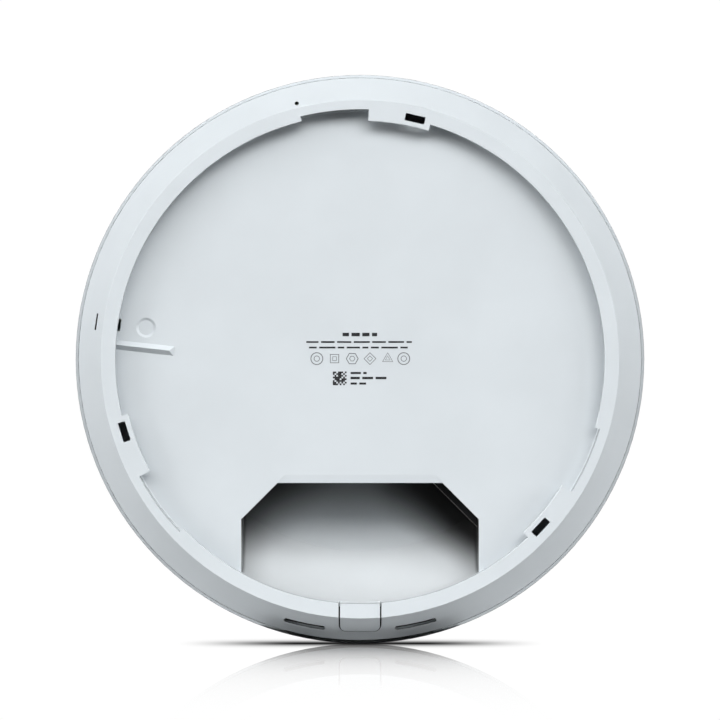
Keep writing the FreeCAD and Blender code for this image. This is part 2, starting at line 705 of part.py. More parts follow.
def base_plate():
    """Aluminium heat spreader with posts for the board and pads for the warm chips."""
    solids = [plan_disc(PLATE_R, BOARD_BAY_GAP + 1.6, PLATE_Y, PLATE_TOP_Y)]
    for chips in rear_chips().values():
        solids += [slab(x, z, side, side, PLATE_Y + 1, PEDESTAL_Y) for x, z, side in chips]
    solids += [rod(x, z, STANDOFF_R, PLATE_Y + 1, BOARD_Y) for x, z in standoff_spots()]
    holes = [rod(x, z, SCREW_HOLE_R, PLATE_Y - 1, BOARD_Y + 1) for x, z in standoff_spots()]
    screw_spots = [polar(PLATE_SCREW_R, angle) for angle in PLATE_SCREW_ANGLES]
    holes += [rod(x, z, SCREW_PASS_R, PLATE_Y - 1, BOARD_Y) for x, z in screw_spots]
    return fused(solids).cut(holes)


def plate_screws():
    """Screws from the base plate into the rear housing."""
    spots = [polar(PLATE_SCREW_R, angle) for angle in PLATE_SCREW_ANGLES]
    return group([screw(x, z, PLATE_TOP_Y, FLOOR_Y + 1.0) for x, z in spots])


def main_board():
    """Round circuit board, with an ear that carries the reset switch."""
    ear = block(BOARD_R - 6, EAR_R, BOARD_Y, BOARD_TOP_Y, -EAR_HALF_W, EAR_HALF_W)
    body = fused([rod(0, 0, BOARD_R, BOARD_Y, BOARD_TOP_Y), spin(ear, PINHOLE_ANGLE)])
    body = body.cut(prism(bay_outline(BOARD_BAY_GAP), BOARD_Y - 1, BOARD_TOP_Y + 1))
    holes = [rod(x, z, SCREW_PASS_R, BOARD_Y - 1, BOARD_TOP_Y + 1) for x, z in standoff_spots()]
    return body.cut(holes)


def board_screws():
    """Screws from the board into the base plate's edge posts."""
    spots = [polar(BOARD_SCREW_R, angle) for angle in BOARD_SCREW_ANGLES]
    return group([screw(x, z, BOARD_TOP_Y, PLATE_Y + 0.4) for x, z in spots])


def rear_chip_group(name):
    """Chips of one kind on the board's rear face."""
    chips = rear_chips()[name]
    return group([slab(x, z, side, side, BOARD_Y - CHIP_HIGH, BOARD_Y) for x, z, side in chips])


def thermal_pads():
    """Soft pads between the warm chips and the metal that cools them."""
    pads = [slab(SINK_X, SINK_Z, 20, 20, BOARD_TOP_Y + CHIP_HIGH, SINK_Y)]
    for chips in rear_chips().values():
        pads += [slab(x, z, side - 1, side - 1, PEDESTAL_Y, BOARD_Y - CHIP_HIGH) for x, z, side in chips]
    return group(pads)


def processor():
    """Main chip: package and lid."""
    return slab(SINK_X, SINK_Z, 19, 19, BOARD_TOP_Y, BOARD_TOP_Y + CHIP_HIGH)


def memory_chips():
    """Two memory chips beside the heat sink."""
    return group([slab(-8.2, z, 8, 12, BOARD_TOP_Y, BOARD_TOP_Y + 1.0) for z in (30, 45)])


def flash_chip():
    """Storage chip."""
    return slab(-14, 62, 8, 6, BOARD_TOP_Y, BOARD_TOP_Y + 0.9)


def power_chip():
    """Controller of the power drawn from the network cable."""
    return slab(46, -4, 7, 7, BOARD_TOP_Y, BOARD_TOP_Y + 0.9)


def small_capacitors():
    """Decoupling capacitors behind the processor."""
    spots = [(SINK_X + 3 * i, SINK_Z + 3 * k) for i in range(-2, 3) for k in range(-2, 3)]
    return group([slab(x, z, 1.0, 0.5, BOARD_Y - 0.5, BOARD_Y) for x, z in spots])


def bulk_capacitors():
    """Upright cans that smooth the supply, with a rolled groove near the foot."""
    cans = []
    for x in (48, 58.5, 69):
        can = rod(x, 13, 4.0, BOARD_TOP_Y, BOARD_TOP_Y + 10.5)
        groove = tube(x, 13, 5.0, 3.75, BOARD_TOP_Y + 1.6, BOARD_TOP_Y + 2.2)
        cans.append(can.cut(groove))
    return group(cans)


def inductors():
    """Square power inductors."""
    spots = [(x, z) for x in (49, 58.5) for z in (25, 34.5)]
    half, corner_round = 3.3, 1
    parts = []
    for x, z in spots:
        signs = ((-1, -1), (1, -1), (1, 1), (-1, 1))
        corners = [(x + half * i, z + half * j, corner_round) for i, j in signs]
        parts.append(prism(corners, BOARD_TOP_Y, BOARD_TOP_Y + 3.2))
    return group(parts)


def power_transformer():
    """Transformer: ferrite halves round a wound bobbin."""
    x, z = 64, -8
    core = slab(x, z, 17, 13, BOARD_TOP_Y + 1, BOARD_TOP_Y + 11)
    bobbin = slab(x, z, 13, 20, BOARD_TOP_Y, BOARD_TOP_Y + 8)
    return fused([core, bobbin])


def network_magnetics():
    """Isolation module between the jack and the network chip."""
    module = block(21.5, 33.5, BOARD_TOP_Y, BOARD_TOP_Y + 6, -8.5, 8.5)
    return port_place(module)


def can_spots():
    """Shield cans on the board's front face: (x, z, wide, tall)."""
    return ((22.5, 45, 35, 26), (17, 4, 42, 30), (12, -27, 42, 18))


def shield_frames():
    """Soldered frames of the shield cans."""
    frames = []
    for x, z, wide, tall in can_spots():
        outer = slab(x, z, wide, tall, BOARD_TOP_Y, BOARD_TOP_Y + 2.2)
        inner = slab(x, z, wide - 0.8, tall - 0.8, BOARD_TOP_Y - 1, BOARD_TOP_Y + 3)
        frames.append(outer.cut(inner))
    return group(frames)


def shield_lids():
    """Lids clipped over the frames."""
    lids = []
    for x, z, wide, tall in can_spots():
        outer = slab(x, z, wide + 1.0, tall + 1.0, BOARD_TOP_Y + 0.6, BOARD_TOP_Y + 2.5)
        inner = slab(x, z, wide + 0.2, tall + 0.2, BOARD_TOP_Y, BOARD_TOP_Y + 2.2)
        lids.append(outer.cut(inner))
    return group(lids)


def amplifier_chips():
    """Radio amplifiers inside the shield cans."""
    chips = []
    for x, z, wide, tall in can_spots():
        chips += [slab(x + dx, z, 4, 4, BOARD_TOP_Y, BOARD_TOP_Y + 0.9) for dx in mirrored_x([wide / 4])]
    return group(chips)


# ---- Network jack -------------------------------------------------------------------------------
def plug_space(front, grow=0.0):
    """Space a network plug fills: body, shoulder and latch, in the port's own axes."""
    base = BOARD_TOP_Y + 4.4
    deep = JACK_FRONT + PLUG_DEEP
    body = block(front, deep, base, base + PLUG_HIGH + grow, -PLUG_HALF_W, PLUG_HALF_W)
    shoulder = block(front, deep, base - 1.3, base + 1, -3.2, 3.2)
    latch = block(front, deep - 3, base - 2.9, base, -1.9, 1.9)
    return fused([body, shoulder, latch])


def mouth_plate(s0, s1):
    """Plate as large as the frame round the jack's mouth, with ends that follow the bay's walls."""
    low, high = BOARD_TOP_Y - BEZEL_LOW, BOARD_TOP_Y + JACK_HIGH + BEZEL_HIGH
    front_half, back_half = BEZEL_HALF_W - s0, BEZEL_HALF_W - s1
    corners = [(s0, -front_half), (s1, -back_half), (s1, back_half), (s0, front_half)]
    return prism(corners, low, high)


def jack_shell():
    """Folded metal shell with a flange at its mouth, open at the mouth and at the rear."""
    outer = block(JACK_FRONT, JACK_BACK, BOARD_TOP_Y, BOARD_TOP_Y + JACK_HIGH, -JACK_HALF_W, JACK_HALF_W)
    flange = mouth_plate(JACK_FRONT, JACK_FRONT + JACK_SHEET)
    inner_half = JACK_HALF_W - JACK_SHEET
    inner = block(JACK_FRONT - 1, JACK_BACK + 1, BOARD_TOP_Y + JACK_SHEET,
                  BOARD_TOP_Y + JACK_HIGH - JACK_SHEET, -inner_half, inner_half)
    return port_place(outer.fuse(flange).cut(inner))


def contact(offset):
    """One spring contact, slanting from the mouth's roof to the back of the plug space."""
    roof = BOARD_TOP_Y + 4.4 + PLUG_HIGH
    front, back = JACK_FRONT + 2.5, JACK_FRONT + PLUG_DEEP
    side = [(front, roof), (front + 0.8, roof), (back, roof - 3.6), (back, roof - 4.0)]
    face = face_of(side, lambda x, y: Vector(x, y, offset - CONTACT_WIDE / 2))
    return face.extrude(Vector(0, 0, CONTACT_WIDE))


def contact_offsets():
    """Positions of the contacts across the plug space."""
    middle = (CONTACT_COUNT - 1) / 2
    return [(index - middle) * CONTACT_PITCH for index in range(CONTACT_COUNT)]


def jack_insert():
    """Dark insert that shapes the plug space."""
    gap = 0.05
    half = JACK_HALF_W - JACK_SHEET - gap
    body = block(JACK_FRONT + 0.3, JACK_BACK - 0.4, BOARD_TOP_Y + JACK_SHEET + gap,
                 BOARD_TOP_Y + JACK_HIGH - JACK_SHEET - gap, -half, half)
    return port_place(body.cut(plug_space(JACK_FRONT - 1)))


def jack_contacts():
    """Gilt spring contacts."""
    return port_place(group([contact(offset) for offset in contact_offsets()]))


def port_bezel():
    """Black frame round the jack's mouth, between the bay's chamfer and the shell's flange."""
    margin = 0.15
    outer = mouth_plate(JACK_FRONT + JACK_SHEET, 0)
    hole_half = JACK_HALF_W + margin
    hole_top = BOARD_TOP_Y + JACK_HIGH + margin
    hole = block(JACK_FRONT, 1, BOARD_TOP_Y - margin, hole_top, -hole_half, hole_half)
    return port_place(outer.cut(hole))


# ---- Reset switch -------------------------------------------------------------------------------
def reset_place(shape):
    """Move a shape drawn on +X at the pinhole's radius to the pinhole's angle."""
    return spin(shape, PINHOLE_ANGLE)


def reset_switch():
    """Housing of the push switch on the board's ear, facing the pinhole."""
    body = slab(PINHOLE_R, 0, 4.4, 4.4, BOARD_Y - 2.2, BOARD_Y)
    bore = rod(PINHOLE_R, 0, 1.05, BOARD_Y - 3, BOARD_Y - 0.4)
    return reset_place(body.cut(bore))


def reset_plunger():
    """Plunger that a pin pushes towards the board."""
    return reset_place(rod(PINHOLE_R, 0, 1.0, BOARD_Y - 3.2, BOARD_Y - 0.9))


# ---- Blower -------------------------------------------------------------------------------------
def fan_box(grow_in, y0, y1):
    """Square block round the blower's centre."""
    half = FAN_HALF - grow_in
    return block(FAN_X - half, FAN_X + half, y0, y1, FAN_Z - half, FAN_Z + half)


def fan_housing():
    """Scroll case, open at the top edge where the air leaves for the heat sink."""
    body = fan_box(0, FAN_Y, FAN_TOP_Y - 1.0 - GAP)
    floor_y = FAN_Y + 1.0
    scroll = rod(FAN_X, FAN_Z, IMPELLER_R + 2.0, floor_y, FAN_TOP_Y)
    mouth = block(FAN_X - 22.0, FAN_X + 13.0, floor_y, FAN_TOP_Y, FAN_Z + 6, FAN_Z + FAN_HALF + 1)
    body = body.cut([scroll, mouth])
    tower = rod(FAN_X, FAN_Z, 2.6, FAN_Y, FAN_Y + 6.5)
    body = fused([body, tower])
    holes = [rod(FAN_X, FAN_Z, 2.0, floor_y, FAN_TOP_Y)]
    holes += [rod(x, z, SCREW_PASS_R, FAN_Y - 1, FAN_TOP_Y + 1) for x, z in fan_spots()]
    return body.cut(holes)


def fan_lid():
    """Lid with the round air inlet."""
    plate = fan_box(0, FAN_TOP_Y - 1.0, FAN_TOP_Y)
    holes = [rod(FAN_X, FAN_Z, FAN_INLET_R, FAN_Y, FAN_TOP_Y + 1)]
    holes += [rod(x, z, SCREW_PASS_R, FAN_Y, FAN_TOP_Y + 1) for x, z in fan_spots()]
    return plate.cut(holes)


def blade(index):
    """One swept blade of the impeller."""
    y0, y1 = FAN_Y + 2.2, FAN_TOP_Y - 1.8
    inner, outer = HUB_R - 0.3, IMPELLER_R
    sweep = 24.0
    middle_r = (inner + outer) / 2
    line = Part.Arc(in_plan(*polar(inner, 0)), in_plan(*polar(middle_r, sweep * 0.62)),
                    in_plan(*polar(outer, sweep)))
    back = Part.Arc(in_plan(*polar(outer, sweep + 2.2)), in_plan(*polar(middle_r, sweep * 0.62 + 3.4)),
                    in_plan(*polar(inner, 6.0)))
    edges = [line.toShape(), Part.makeLine(line.EndPoint, back.StartPoint), back.toShape(),
             Part.makeLine(back.EndPoint, line.StartPoint)]
    face = Part.Face(Part.Wire(edges))
    face.translate(Vector(0, y0, 0))
    return spin(face.extrude(Vector(0, y1 - y0, 0)), 360 / BLADE_COUNT * index)


def fan_rotor():
    """Impeller: cup-shaped hub with swept blades."""
    top = FAN_TOP_Y - 1.6
    low = FAN_Y + 2.0
    cup = rod(0, 0, HUB_R, low, top).cut(rod(0, 0, HUB_R - HUB_SKIN, low - 1, top - HUB_SKIN))
    body = fused([cup] + [blade(index) for index in range(BLADE_COUNT)])
    body = fused([body, rod(0, 0, 2.0, top - 1.4, top)])
    body = body.cut(rod(0, 0, SHAFT_R, 0, top - 0.3))
    body.translate(Vector(FAN_X, 0, FAN_Z))
    return body


def fan_shaft():
    """Steel shaft pressed into the impeller's hub."""
    return rod(FAN_X, FAN_Z, SHAFT_R, FAN_Y + 1.2, FAN_TOP_Y - 1.9)


def fan_bearing():
    """Sintered sleeve that the shaft runs in."""
    return tube(FAN_X, FAN_Z, 2.0, SHAFT_R + SHAFT_RUNNING, FAN_Y + 1.0, FAN_Y + 6.3)


def fan_magnet():
    """Ring magnet inside the hub."""
    outer = HUB_R - HUB_SKIN
    return tube(FAN_X, FAN_Z, outer, outer - 1.3, FAN_Y + 2.2, FAN_TOP_Y - 3.0)


def fan_stator():
    """Wound core round the bearing tower."""
    core = rod(FAN_X, FAN_Z, 6.5, FAN_Y + 2.4, FAN_Y + 5.4)
    slots = []
    for index in range(4):
        cut = slab(5.4, 0, 3.4, 1.0, FAN_Y + 2, FAN_Y + 6)
        turned = spin(cut, 45 + 90 * index)
        turned.translate(Vector(FAN_X, 0, FAN_Z))
        slots.append(turned)
    return core.cut([rod(FAN_X, FAN_Z, 2.6, FAN_Y, FAN_TOP_Y)] + slots)


def fan_screws():
    """Long screws through the blower and the board into the base plate."""
    return group([screw(x, z, FAN_TOP_Y, PLATE_Y + 0.4) for x, z in fan_spots()])


def fan_connector():
    """Board socket of the blower's lead."""
    return slab(FAN_PLUG_X, FAN_PLUG_Z, 7, 3.6, BOARD_TOP_Y, BOARD_TOP_Y + 3)


def fan_cable():
    """Three-wire lead from the blower to its socket."""
    wires = []
    radius = 0.35
    top = BOARD_TOP_Y + 3 + radius
    wall_z = FAN_Z - FAN_HALF
    for index in range(3):
        x = FAN_PLUG_X + 1.6 * (index - 1)
        points = [(x, top + 0.5, wall_z - radius), (x, top + 0.6, wall_z - 1.4),
                  (x, top + 0.2, wall_z - 2.6), (x, top + 0.1, wall_z - 4.0)]
        wires.append(wire_cable(points, radius))
    return group(wires)


# ---- Heat sink ----------------------------------------------------------------------------------
def heat_sink():
    """Finned heat sink in the blower's outlet."""
    solids = [slab(SINK_X, SINK_Z, 2 * SINK_HALF_X, 2 * SINK_HALF_Z, SINK_Y, SINK_BASE_TOP_Y)]
    solids += [rod(x, z, 2.6, BOARD_TOP_Y, SINK_BASE_TOP_Y) for x, z in sink_legs()]
    span = SINK_HALF_X - 0.6
    for index in range(FIN_COUNT):
        x = SINK_X - span + 2 * span / (FIN_COUNT - 1) * index
        solids.append(slab(x, SINK_Z, 1.2, 2 * SINK_HALF_Z, SINK_Y + 1, SINK_TOP_Y))
    cuts = []
    for x, z in sink_legs():
        cuts.append(rod(x, z, HEAD_R + 0.4, SINK_BASE_TOP_Y, SINK_TOP_Y + 1))
        cuts.append(rod(x, z, SCREW_PASS_R, BOARD_Y, SINK_TOP_Y))
    return fused(solids).cut(cuts)


def heat_sink_screws():
    """Screws through the heat sink's feet into the base plate."""
    return group([screw(x, z, SINK_BASE_TOP_Y, PLATE_Y + 0.4) for x, z in sink_legs()])


# ---- Antennas -----------------------------------------------------------------------------------
def antenna_frame():
    """Curved plastic carrier round the board."""
    body = sector(FRAME_IN_R, FRAME_OUT_R, FRAME_FROM, FRAME_TO, FRAME_Y, FRAME_TOP_Y)
    fence = sector(FRAME_IN_R, FRAME_IN_R + 1.2, FRAME_FROM, FRAME_TO, FRAME_Y, FRAME_TOP_Y + 1.5)
    spots = [polar(FRAME_BOSS_R, angle) for angle in FRAME_BOSS_ANGLES]
    cuts = []
    for x, z in spots:
        cuts.append(rod(x, z, SCREW_PASS_R, FRAME_Y - 1, FRAME_TOP_Y + 2))
        cuts.append(rod(x, z, SMALL_HEAD_R + 1, FRAME_TOP_Y, FRAME_TOP_Y + 2))
    for angle in ANTENNAS_LOW + ANTENNAS_MID + ANTENNAS_HIGH + ANTENNA_SHORT:
        gate = block(FRAME_IN_R - 1, FRAME_IN_R + 2, FRAME_TOP_Y, FRAME_TOP_Y + 2, -1.5, 1.5)
        cuts.append(spin(gate, angle))
    return fused([body, fence]).cut(cuts)


def antenna_screws():
    """Screws from the antenna carrier into the rear housing."""
    spots = [polar(FRAME_BOSS_R, angle) for angle in FRAME_BOSS_ANGLES]
    return group([screw(x, z, FRAME_TOP_Y, FLOOR_BACK_Y, SCREW_R, 2.2, 1.4) for x, z in spots])


def antenna(angle, wide, high):
    """Stamped antenna: foot on the carrier, slotted wall, folded top."""
    wall_r = 94.4
    foot = block(89.2, wall_r, FRAME_TOP_Y, FRAME_TOP_Y + ANTENNA_SHEET, -wide / 4, wide / 4)
    top_y = FRAME_TOP_Y + high
    wall = block(wall_r - ANTENNA_SHEET, wall_r, FRAME_TOP_Y, top_y, -wide / 2, wide / 2)
    roof = block(wall_r - 4.5, wall_r, top_y - ANTENNA_SHEET, top_y, -wide / 2, wide / 2)
    slot = block(wall_r - 1, wall_r + 1, FRAME_TOP_Y + high * 0.3, FRAME_TOP_Y + high * 0.45,
                 -wide / 2 - 1, wide / 4)
    return spin(fused([foot, wall, roof]).cut(slot), angle)


def antennas_2ghz():
    """Long antennas of the lowest band."""
    return group([antenna(angle, 25, 11.5) for angle in ANTENNAS_LOW])


def antennas_5ghz():
    """Antennas of the middle band."""
    return group([antenna(angle, 15, 10) for angle in ANTENNAS_MID])


def antennas_6ghz():
    """Antennas of the highest band."""
    return group([antenna(angle, 11, 8.5) for angle in ANTENNAS_HIGH])


def service_antenna():
    """Single antenna of the set-up radio."""
    return antenna(ANTENNA_SHORT[0], 13, 6.5)


def lead_angles():
    """Angles of all antenna leads."""
    return ANTENNAS_LOW + ANTENNAS_MID + ANTENNAS_HIGH + ANTENNA_SHORT


def coax_connectors():
    """Snap-on plugs of the antenna leads."""
    spots = [polar(ANTENNA_PLUG_R, angle) for angle in lead_angles()]
    return group([rod(x, z, 1.4, BOARD_TOP_Y, BOARD_TOP_Y + 1.6) for x, z in spots])


def coax_cables():
    """Thin coaxial leads from the board to the antennas."""
    radius, clear = 0.55, 0.1
    cables = []
    for angle in lead_angles():
        low = BOARD_TOP_Y + 1.6 + radius + clear
        rest = FRAME_TOP_Y + ANTENNA_SHEET + radius + clear
        points = [(ANTENNA_PLUG_R - 0.6, low, 0), (ANTENNA_PLUG_R + 3.5, low + 0.5, 0.6),
                  (FRAME_IN_R - 1.5, rest + 0.2, 0.5), (88.6, rest + 0.1, 0.1),
                  (90.6, rest, 0), (92.6, rest, 0)]
        cables.append(spin(wire_cable(points, radius), angle))
    return group(cables)


# ---- Light board's lead -------------------------------------------------------------------------
def led_connectors():
    """Flat-cable sockets on the light board and on the main board."""
    upper = slab(0, 30.5, 8, 3.4, LED_BOARD_Y - 2.0, LED_BOARD_Y)
    lower = slab(0, 67, 8, 3.4, BOARD_TOP_Y, BOARD_TOP_Y + 2)
    return group([upper, lower])


def led_cable():
    """Flat cable between the two boards, laid over the parts below it."""
    points = [(32.2, LED_BOARD_Y - 1.0), (50.0, LED_BOARD_Y - 1.0), (54.0, LED_BOARD_Y - 4.0),
              (59.0, BOARD_TOP_Y + 5.0), (62.0, BOARD_TOP_Y + 1.1), (65.3, BOARD_TOP_Y + 1.1)]
    return ribbon(points, 0.3, -3, 3)


NODES = {
    "rear_housing": rear_housing, "front_cover": front_cover, "center_cap": center_cap,
    "light_ring": light_ring, "cable_cover": cable_cover, "led_board": led_board, "leds": leds,
    "led_screws": led_screws, "base_plate": base_plate, "plate_screws": plate_screws,
    "main_board": main_board, "board_screws": board_screws, "thermal_pads": thermal_pads,
    "processor": processor, "memory_chips": memory_chips, "flash_chip": flash_chip,
    "power_chip": power_chip, "small_capacitors": small_capacitors,
    "radio_chips": lambda: rear_chip_group("radio_chips"),
    "network_chip": lambda: rear_chip_group("network_chip"),
    "bulk_capacitors": bulk_capacitors, "inductors": inductors,
    "power_transformer": power_transformer, "network_magnetics": network_magnetics,
    "shield_frames": shield_frames, "shield_lids": shield_lids, "amplifier_chips": amplifier_chips,
    "jack_shell": jack_shell, "jack_insert": jack_insert, "jack_contacts": jack_contacts,
    "port_bezel": port_bezel, "reset_switch": reset_switch, "reset_plunger": reset_plunger,
    "fan_housing": fan_housing, "fan_lid": fan_lid, "fan_rotor": fan_rotor, "fan_shaft": fan_shaft,
    "fan_bearing": fan_bearing, "fan_magnet": fan_magnet, "fan_stator": fan_stator,
    "fan_screws": fan_screws, "fan_connector": fan_connector, "fan_cable": fan_cable,
    "heat_sink": heat_sink, "heat_sink_screws": heat_sink_screws,
    "antenna_frame": antenna_frame, "antenna_screws": antenna_screws,
    "antennas_2ghz": antennas_2ghz, "antennas_5ghz": antennas_5ghz,
    "antennas_6ghz": antennas_6ghz, "service_antenna": service_antenna,
    "coax_connectors": coax_connectors, "coax_cables": coax_cables,
    "led_connectors": led_connectors, "led_cable": led_cable,
}

os.makedirs("parts", exist_ok=True)
for name, make in NODES.items():
    make().exportStep("parts/" + name + ".step")
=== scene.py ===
import json
import math
import random

import bmesh
import bpy
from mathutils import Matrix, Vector


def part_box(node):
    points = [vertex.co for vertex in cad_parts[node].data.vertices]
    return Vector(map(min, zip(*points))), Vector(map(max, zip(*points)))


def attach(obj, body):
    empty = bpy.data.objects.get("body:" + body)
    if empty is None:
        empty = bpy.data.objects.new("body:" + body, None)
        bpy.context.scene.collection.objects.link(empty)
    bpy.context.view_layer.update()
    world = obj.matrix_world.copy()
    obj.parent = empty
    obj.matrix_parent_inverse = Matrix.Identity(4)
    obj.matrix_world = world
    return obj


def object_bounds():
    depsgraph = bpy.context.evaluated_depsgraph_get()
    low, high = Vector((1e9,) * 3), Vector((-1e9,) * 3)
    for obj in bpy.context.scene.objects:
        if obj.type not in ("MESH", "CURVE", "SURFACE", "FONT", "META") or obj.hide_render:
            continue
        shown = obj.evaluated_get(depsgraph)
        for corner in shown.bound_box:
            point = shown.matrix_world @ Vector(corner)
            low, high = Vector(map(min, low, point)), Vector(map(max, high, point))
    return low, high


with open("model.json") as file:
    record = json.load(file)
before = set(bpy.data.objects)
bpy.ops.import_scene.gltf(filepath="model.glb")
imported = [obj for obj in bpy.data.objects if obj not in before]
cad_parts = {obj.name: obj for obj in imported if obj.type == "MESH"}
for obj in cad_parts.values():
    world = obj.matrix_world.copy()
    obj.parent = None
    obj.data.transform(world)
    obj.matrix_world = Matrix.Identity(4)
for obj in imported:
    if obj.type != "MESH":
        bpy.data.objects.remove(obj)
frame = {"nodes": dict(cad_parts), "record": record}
cad_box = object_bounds()

# Everything is in metres, in the frame of the CAD part: the mounting side faces -Y, +Z is up.
MM = 0.001
NODES = frame["nodes"]
RECORD = frame["record"]


# ---- Material building blocks -------------------------------------------------------------------
def math_node(nodes, links, operation, first, second):
    """Math node whose inputs are sockets or numbers."""
    node = nodes.new("ShaderNodeMath")
    node.operation = operation
    for slot, value in zip(node.inputs, (first, second)):
        if isinstance(value, (int, float)):
            slot.default_value = value
        else:
            links.new(value, slot)
    return node.outputs[0]


def soft_step(nodes, links, value, start, end):
    """0 at start, 1 at end, smooth between."""
    node = nodes.new("ShaderNodeMapRange")
    node.interpolation_type = "SMOOTHSTEP"
    node.inputs["From Min"].default_value = min(start, end)
    node.inputs["From Max"].default_value = max(start, end)
    node.inputs["To Min"].default_value = float(start > end)
    node.inputs["To Max"].default_value = float(start < end)
    links.new(value, node.inputs["Value"])
    return node.outputs["Result"]


class Look:
    """A node material with one Principled shader, built up call by call."""

    def __init__(self, name, metallic=0.0, ior=1.5):
        self.material = bpy.data.materials.new(name)
        self.material.use_nodes = True
        self.nodes = self.material.node_tree.nodes
        self.links = self.material.node_tree.links
        self.shader = self.nodes["Principled BSDF"]
        self.shader.inputs["Metallic"].default_value = metallic
        self.shader.inputs["IOR"].default_value = ior
        self.place = self.nodes.new("ShaderNodeTexCoord").outputs["Object"]
        self.heights = []

    def noise(self, size_mm, detail=3.0, roughness=0.55, stretch=(1, 1, 1)):
        """Noise with features of about size_mm; returns its value socket."""
        mapping = self.nodes.new("ShaderNodeMapping")
        mapping.inputs["Scale"].default_value = stretch
        self.links.new(self.place, mapping.inputs["Vector"])
        texture = self.nodes.new("ShaderNodeTexNoise")
        texture.inputs["Scale"].default_value = 1.0 / (size_mm * MM)
        texture.inputs["Detail"].default_value = detail
        texture.inputs["Roughness"].default_value = roughness
        self.links.new(mapping.outputs["Vector"], texture.inputs["Vector"])
        return texture.outputs["Fac"]

    def cells(self, size_mm, feature="F1"):
        """Voronoi distance with cells of about size_mm."""
        texture = self.nodes.new("ShaderNodeTexVoronoi")
        texture.feature = feature
        texture.inputs["Scale"].default_value = 1.0 / (size_mm * MM)
        self.links.new(self.place, texture.inputs["Vector"])
        return texture.outputs["Distance"]

    def ramp(self, value, stops):
        """Colour ramp over a value; stops are (position, colour)."""
        ramp = self.nodes.new("ShaderNodeValToRGB")
        band = ramp.color_ramp
        while len(band.elements) < len(stops):
            band.elements.new(0.5)
        for element, (position, colour) in zip(band.elements, stops):
            element.position = position
            element.color = (*colour, 1.0)
        self.links.new(value, ramp.inputs["Fac"])
        return ramp.outputs["Color"]

    def spread(self, value, low, high):
        """Value mapped from the noise's usual range to low..high."""
        remap = self.nodes.new("ShaderNodeMapRange")
        remap.inputs["From Min"].default_value = 0.3
        remap.inputs["From Max"].default_value = 0.7
        remap.inputs["To Min"].default_value = low
        remap.inputs["To Max"].default_value = high
        self.links.new(value, remap.inputs["Value"])
        return remap.outputs["Result"]

    def colour(self, socket):
        self.links.new(socket, self.shader.inputs["Base Color"])

    def roughness(self, socket):
        self.links.new(socket, self.shader.inputs["Roughness"])

    def bump(self, value, height_mm, strength=1.0):
        """Adds a height layer; layers chain into one another."""
        node = self.nodes.new("ShaderNodeBump")
        node.inputs["Strength"].default_value = strength
        node.inputs["Distance"].default_value = height_mm * MM
        self.links.new(value, node.inputs["Height"])
        if self.heights:
            self.links.new(self.heights[-1].outputs["Normal"], node.inputs["Normal"])
        self.heights.append(node)
        self.links.new(node.outputs["Normal"], self.shader.inputs["Normal"])


def tinted(colour, factor):
    """A colour made lighter or darker."""
    return tuple(min(1.0, channel * factor) for channel in colour)


def moulded(name, colour, low=0.38, high=0.5, grain_mm=0.35, grain_high=0.006, shade=0.03):
    """Moulded plastic: fine spark texture, slow colour drift, uneven sheen."""
    look = Look(name, ior=1.46)
    drift = look.noise(28, detail=2.0)
    look.colour(look.ramp(drift, [(0.3, tinted(colour, 1 - shade)), (0.7, tinted(colour, 1 + shade / 2))]))
    look.roughness(look.spread(look.noise(6.0), low, high))
    look.bump(look.noise(grain_mm, detail=4.0, roughness=0.6), grain_high, 0.6)
    look.bump(look.noise(45, detail=1.0), 0.03, 0.25)
    return look


def cast_metal(name, colour):
    """Bead-blasted die casting."""
    look = Look(name, metallic=1.0)
    look.colour(look.ramp(look.noise(9), [(0.3, tinted(colour, 0.9)), (0.7, tinted(colour, 1.03))]))
    look.roughness(look.spread(look.noise(1.5), 0.42, 0.6))
    look.bump(look.cells(0.45), 0.02, 0.5)
    return look


def sheet_metal(name, colour, low=0.22, high=0.38):
    """Rolled sheet: fine scratches along one direction."""
    look = Look(name, metallic=1.0)
    look.colour(look.ramp(look.noise(12), [(0.3, tinted(colour, 0.92)), (0.7, tinted(colour, 1.05))]))
    streaks = look.noise(0.9, detail=5.0, stretch=(1, 12, 12))
    look.roughness(look.spread(streaks, low, high))
    look.bump(streaks, 0.004, 0.5)
    return look


def circuit_board(name, colour):
    """Lacquered board: copper tracks showing as lighter lines under the solder mask."""
    look = Look(name, ior=1.55)
    tracks = look.nodes.new("ShaderNodeTexBrick")
    tracks.offset = 0.37
    tracks.inputs["Scale"].default_value = 1.0
    tracks.inputs["Brick Width"].default_value = 5.5 * MM
    tracks.inputs["Row Height"].default_value = 1.3 * MM
    tracks.inputs["Mortar Size"].default_value = 0.16 * MM
    flat = look.nodes.new("ShaderNodeSeparateXYZ")
    joined = look.nodes.new("ShaderNodeCombineXYZ")
    look.links.new(look.place, flat.inputs["Vector"])
    look.links.new(flat.outputs["X"], joined.inputs["X"])
    look.links.new(flat.outputs["Z"], joined.inputs["Y"])
    look.links.new(joined.outputs["Vector"], tracks.inputs["Vector"])
    tracks.inputs["Color1"].default_value = (*tinted(colour, 0.92), 1)
    tracks.inputs["Color2"].default_value = (*tinted(colour, 1.12), 1)
    tracks.inputs["Mortar"].default_value = (*tinted(colour, 2.1), 1)
    look.colour(tracks.outputs["Color"])
    look.roughness(look.spread(look.noise(3.0), 0.22, 0.34))
    look.bump(tracks.outputs["Fac"], 0.02, 0.5)
    return look


def package(name, colour):
    """Chip resin with a slightly rough top."""
    return moulded(name, colour, 0.42, 0.58, grain_mm=0.12, grain_high=0.004, shade=0.12)


def translucent(name, colour):
    """Light guide: milky plastic."""
    look = moulded(name, colour, 0.2, 0.3, grain_mm=0.2, grain_high=0.002, shade=0.02)
    look.shader.inputs["Subsurface Weight"].default_value = 0.35
    look.shader.inputs["Subsurface Radius"].default_value = (0.004, 0.004, 0.004)
    look.shader.inputs["Subsurface Scale"].default_value = 0.4
    return look


